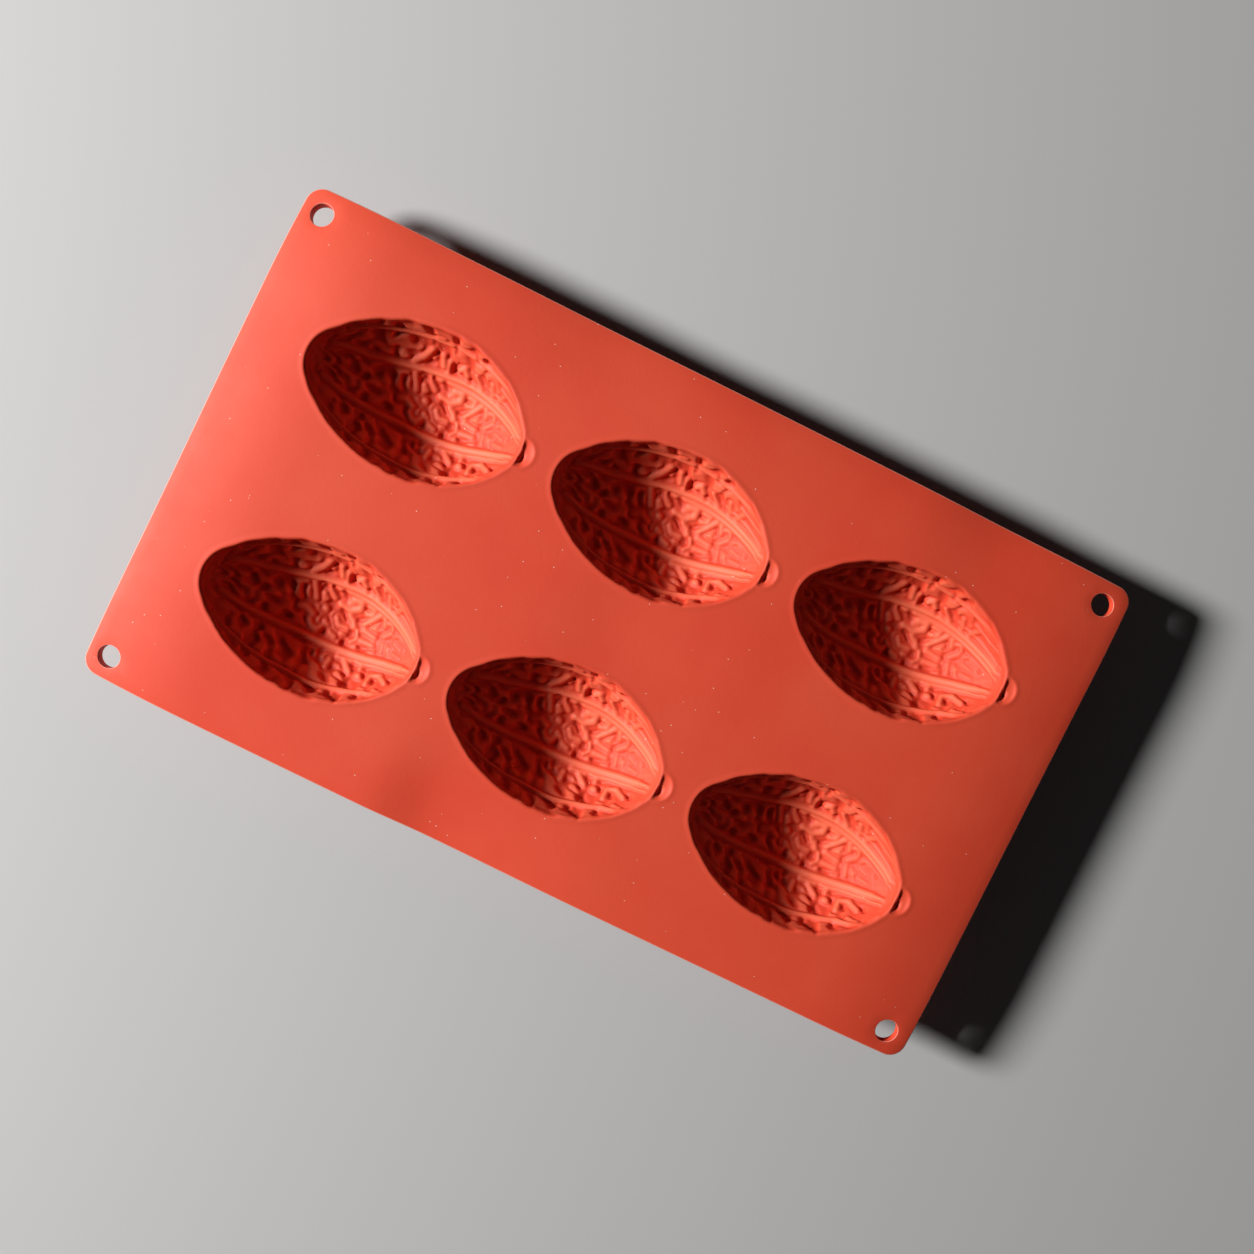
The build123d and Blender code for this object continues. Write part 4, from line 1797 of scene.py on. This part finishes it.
@dataclass
class Studio:
    """The camera, the lights and the floor round the mould.

    Attributes:
        eye: The camera's place, in millimetres in the part's frame.
        forward: Direction that the camera looks in.
        right: Direction that lies level across the picture, from left to right.
        lens: Focal length for a sensor as wide as the picture, in millimetres.
        sensor: Width of that sensor.
        clip: Nearest and farthest distance that the camera sees, in metres.
        key_turn: How far the lamp is turned from the picture's left, in degrees.
        key_elevation: Its height over the horizon, in degrees.
        key_distance: Its distance from the mould, in metres.
        key_size: Diameter of its round face, in metres.
        key_power: Its power, in watts.
        key_target: Height over the floor that it shines at, in metres.
        fill: Strength of the even light from all round.
        floor_reach: Half of the floor's side, in metres.
    """

    eye: tuple[float, float, float] = (-20.2, 21.6, 472.2)
    forward: tuple[float, float, float] = (0.0532, -0.0404, -0.9978)
    right: tuple[float, float, float] = (0.8978, 0.4395, 0.0301)
    lens: float = 39.48
    sensor: float = 36.0
    clip: tuple[float, float] = (0.01, 20.0)
    key_turn: float = 14.0
    key_elevation: float = 29.8
    key_distance: float = 1.6
    key_size: float = 0.345
    key_power: float = 56.2
    key_target: float = 0.026
    fill: float = 0.018
    floor_reach: float = 6.0

    def camera(self) -> None:
        """Make the camera that looks down on the mould as the photograph does."""
        data = bpy.data.cameras.new("camera")
        data.lens = self.lens
        data.sensor_width = self.sensor
        data.clip_start, data.clip_end = self.clip
        made = bpy.data.objects.new("camera", data)
        back = -Vector(self.forward).normalized()
        right = Vector(self.right)
        right = (right - back * right.dot(back)).normalized()
        up = back.cross(right)
        rotation = Matrix((right, up, back)).transposed()
        made.matrix_world = Matrix.Translation(Vector(self.eye) * MM) @ rotation.to_4x4()
        bpy.context.scene.collection.objects.link(made)
        bpy.context.scene.camera = made

    def lights(self) -> None:
        """Make a soft key lamp at the picture's left and a weak even fill."""
        left = -Vector((self.right[0], self.right[1], 0)).normalized()
        level = Matrix.Rotation(-math.radians(self.key_turn), 3, "Z") @ left
        elevation = math.radians(self.key_elevation)
        towards = level * math.cos(elevation) + Vector((0, 0, math.sin(elevation)))
        data = bpy.data.lights.new("key", "AREA")
        data.shape = "DISK"
        data.size = self.key_size
        data.energy = self.key_power
        key = bpy.data.objects.new("key", data)
        place = towards * self.key_distance + Vector((0, 0, self.key_target))
        key.matrix_world = Matrix.Translation(place) @ towards.to_track_quat("Z", "Y").to_matrix().to_4x4()
        bpy.context.scene.collection.objects.link(key)
        bpy.context.scene.world = self.world()

    def world(self) -> bpy.types.World:
        """Return a world that lights the mould with the weak fill and shows the camera the pale backdrop."""
        world = bpy.data.worlds.new("studio")
        world.use_nodes = True
        kit = MaterialKit(world.node_tree)
        light = world.node_tree.nodes["Background"]
        light.inputs["Color"].default_value = (1, 1, 1, 1)
        light.inputs["Strength"].default_value = self.fill
        seen = kit.node("ShaderNodeBackground", {"Color": (*FloorFinish().backdrop, 1)})
        kit.finish_with(
            "World Output", kit.camera_ray(), light.outputs["Background"], seen.outputs["Background"])
        return world

    def floor(self) -> None:
        """Make the pale floor that the mould stands on."""
        mesh = bpy.data.meshes.new("floor")
        half = self.floor_reach
        corners = [(-half, -half, 0), (half, -half, 0), (half, half, 0), (-half, half, 0)]
        mesh.from_pydata(corners, [], [(0, 1, 2, 3)])
        floor = object_from("floor", mesh)
        floor.data.materials.append(FloorFinish().build())


def finish_piece(piece: bpy.types.Object, node: str) -> None:
    """Let a piece ride on the part and stand for its node.

    Args:
        piece: The finished piece.
        node: Name of the node that it stands for.
    """
    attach(piece, "root")
    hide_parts(node)
    log.info("%s: %d faces, stands for %s", piece.name, len(piece.data.polygons), node)


def main() -> None:
    """Build the mould's pieces, dress them and set the studio."""
    logging.basicConfig(level=logging.INFO, format="%(name)s: %(message)s")
    bpy.context.scene.view_settings.view_transform = "Standard"
    low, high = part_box("top_sheet")
    profile = PodProfile()
    top = high.z / MM
    tips = []
    for number in range(1, POD_COLUMNS * ROWS + 1):
        cup_low, cup_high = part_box(f"pod_cup_{number}")
        tips.append(Vector((cup_low.x / MM + PodSolid.wall, (cup_low.y + cup_high.y) / 2 / MM, top)))
    silicone = SiliconeFinish().build()
    solid = PodSolid(profile, ReliefMap(profile), depth=top)
    cup_mesh, mouth_mesh = PodModule(solid).build()
    repeat = RepeatTree()
    sizes = SheetSizes((high.x - low.x) / MM, (high.y - low.y) / MM)
    sheet = TopSheet(sizes, top, tips, mouth_mesh, profile, Droop())
    finish_piece(sheet.build(repeat, silicone), "top_sheet")
    source = object_from("cup_source", cup_mesh)
    for number, tip in enumerate(tips, start=1):
        values = {"Columns": 1, "Rows": 1, "First Place": tip * MM, "Material": silicone}
        mesh = repeat.run(source, values, f"pod_cavity_{number}")
        sheet.droop.bend_mesh(mesh, top - sizes.thickness / 2)
        finish_piece(object_from(f"pod_cavity_{number}", mesh), f"pod_cup_{number}")
    bpy.data.objects.remove(source)
    studio = Studio()
    studio.camera()
    studio.lights()
    studio.floor()


if __name__ == "__main__":
    main()
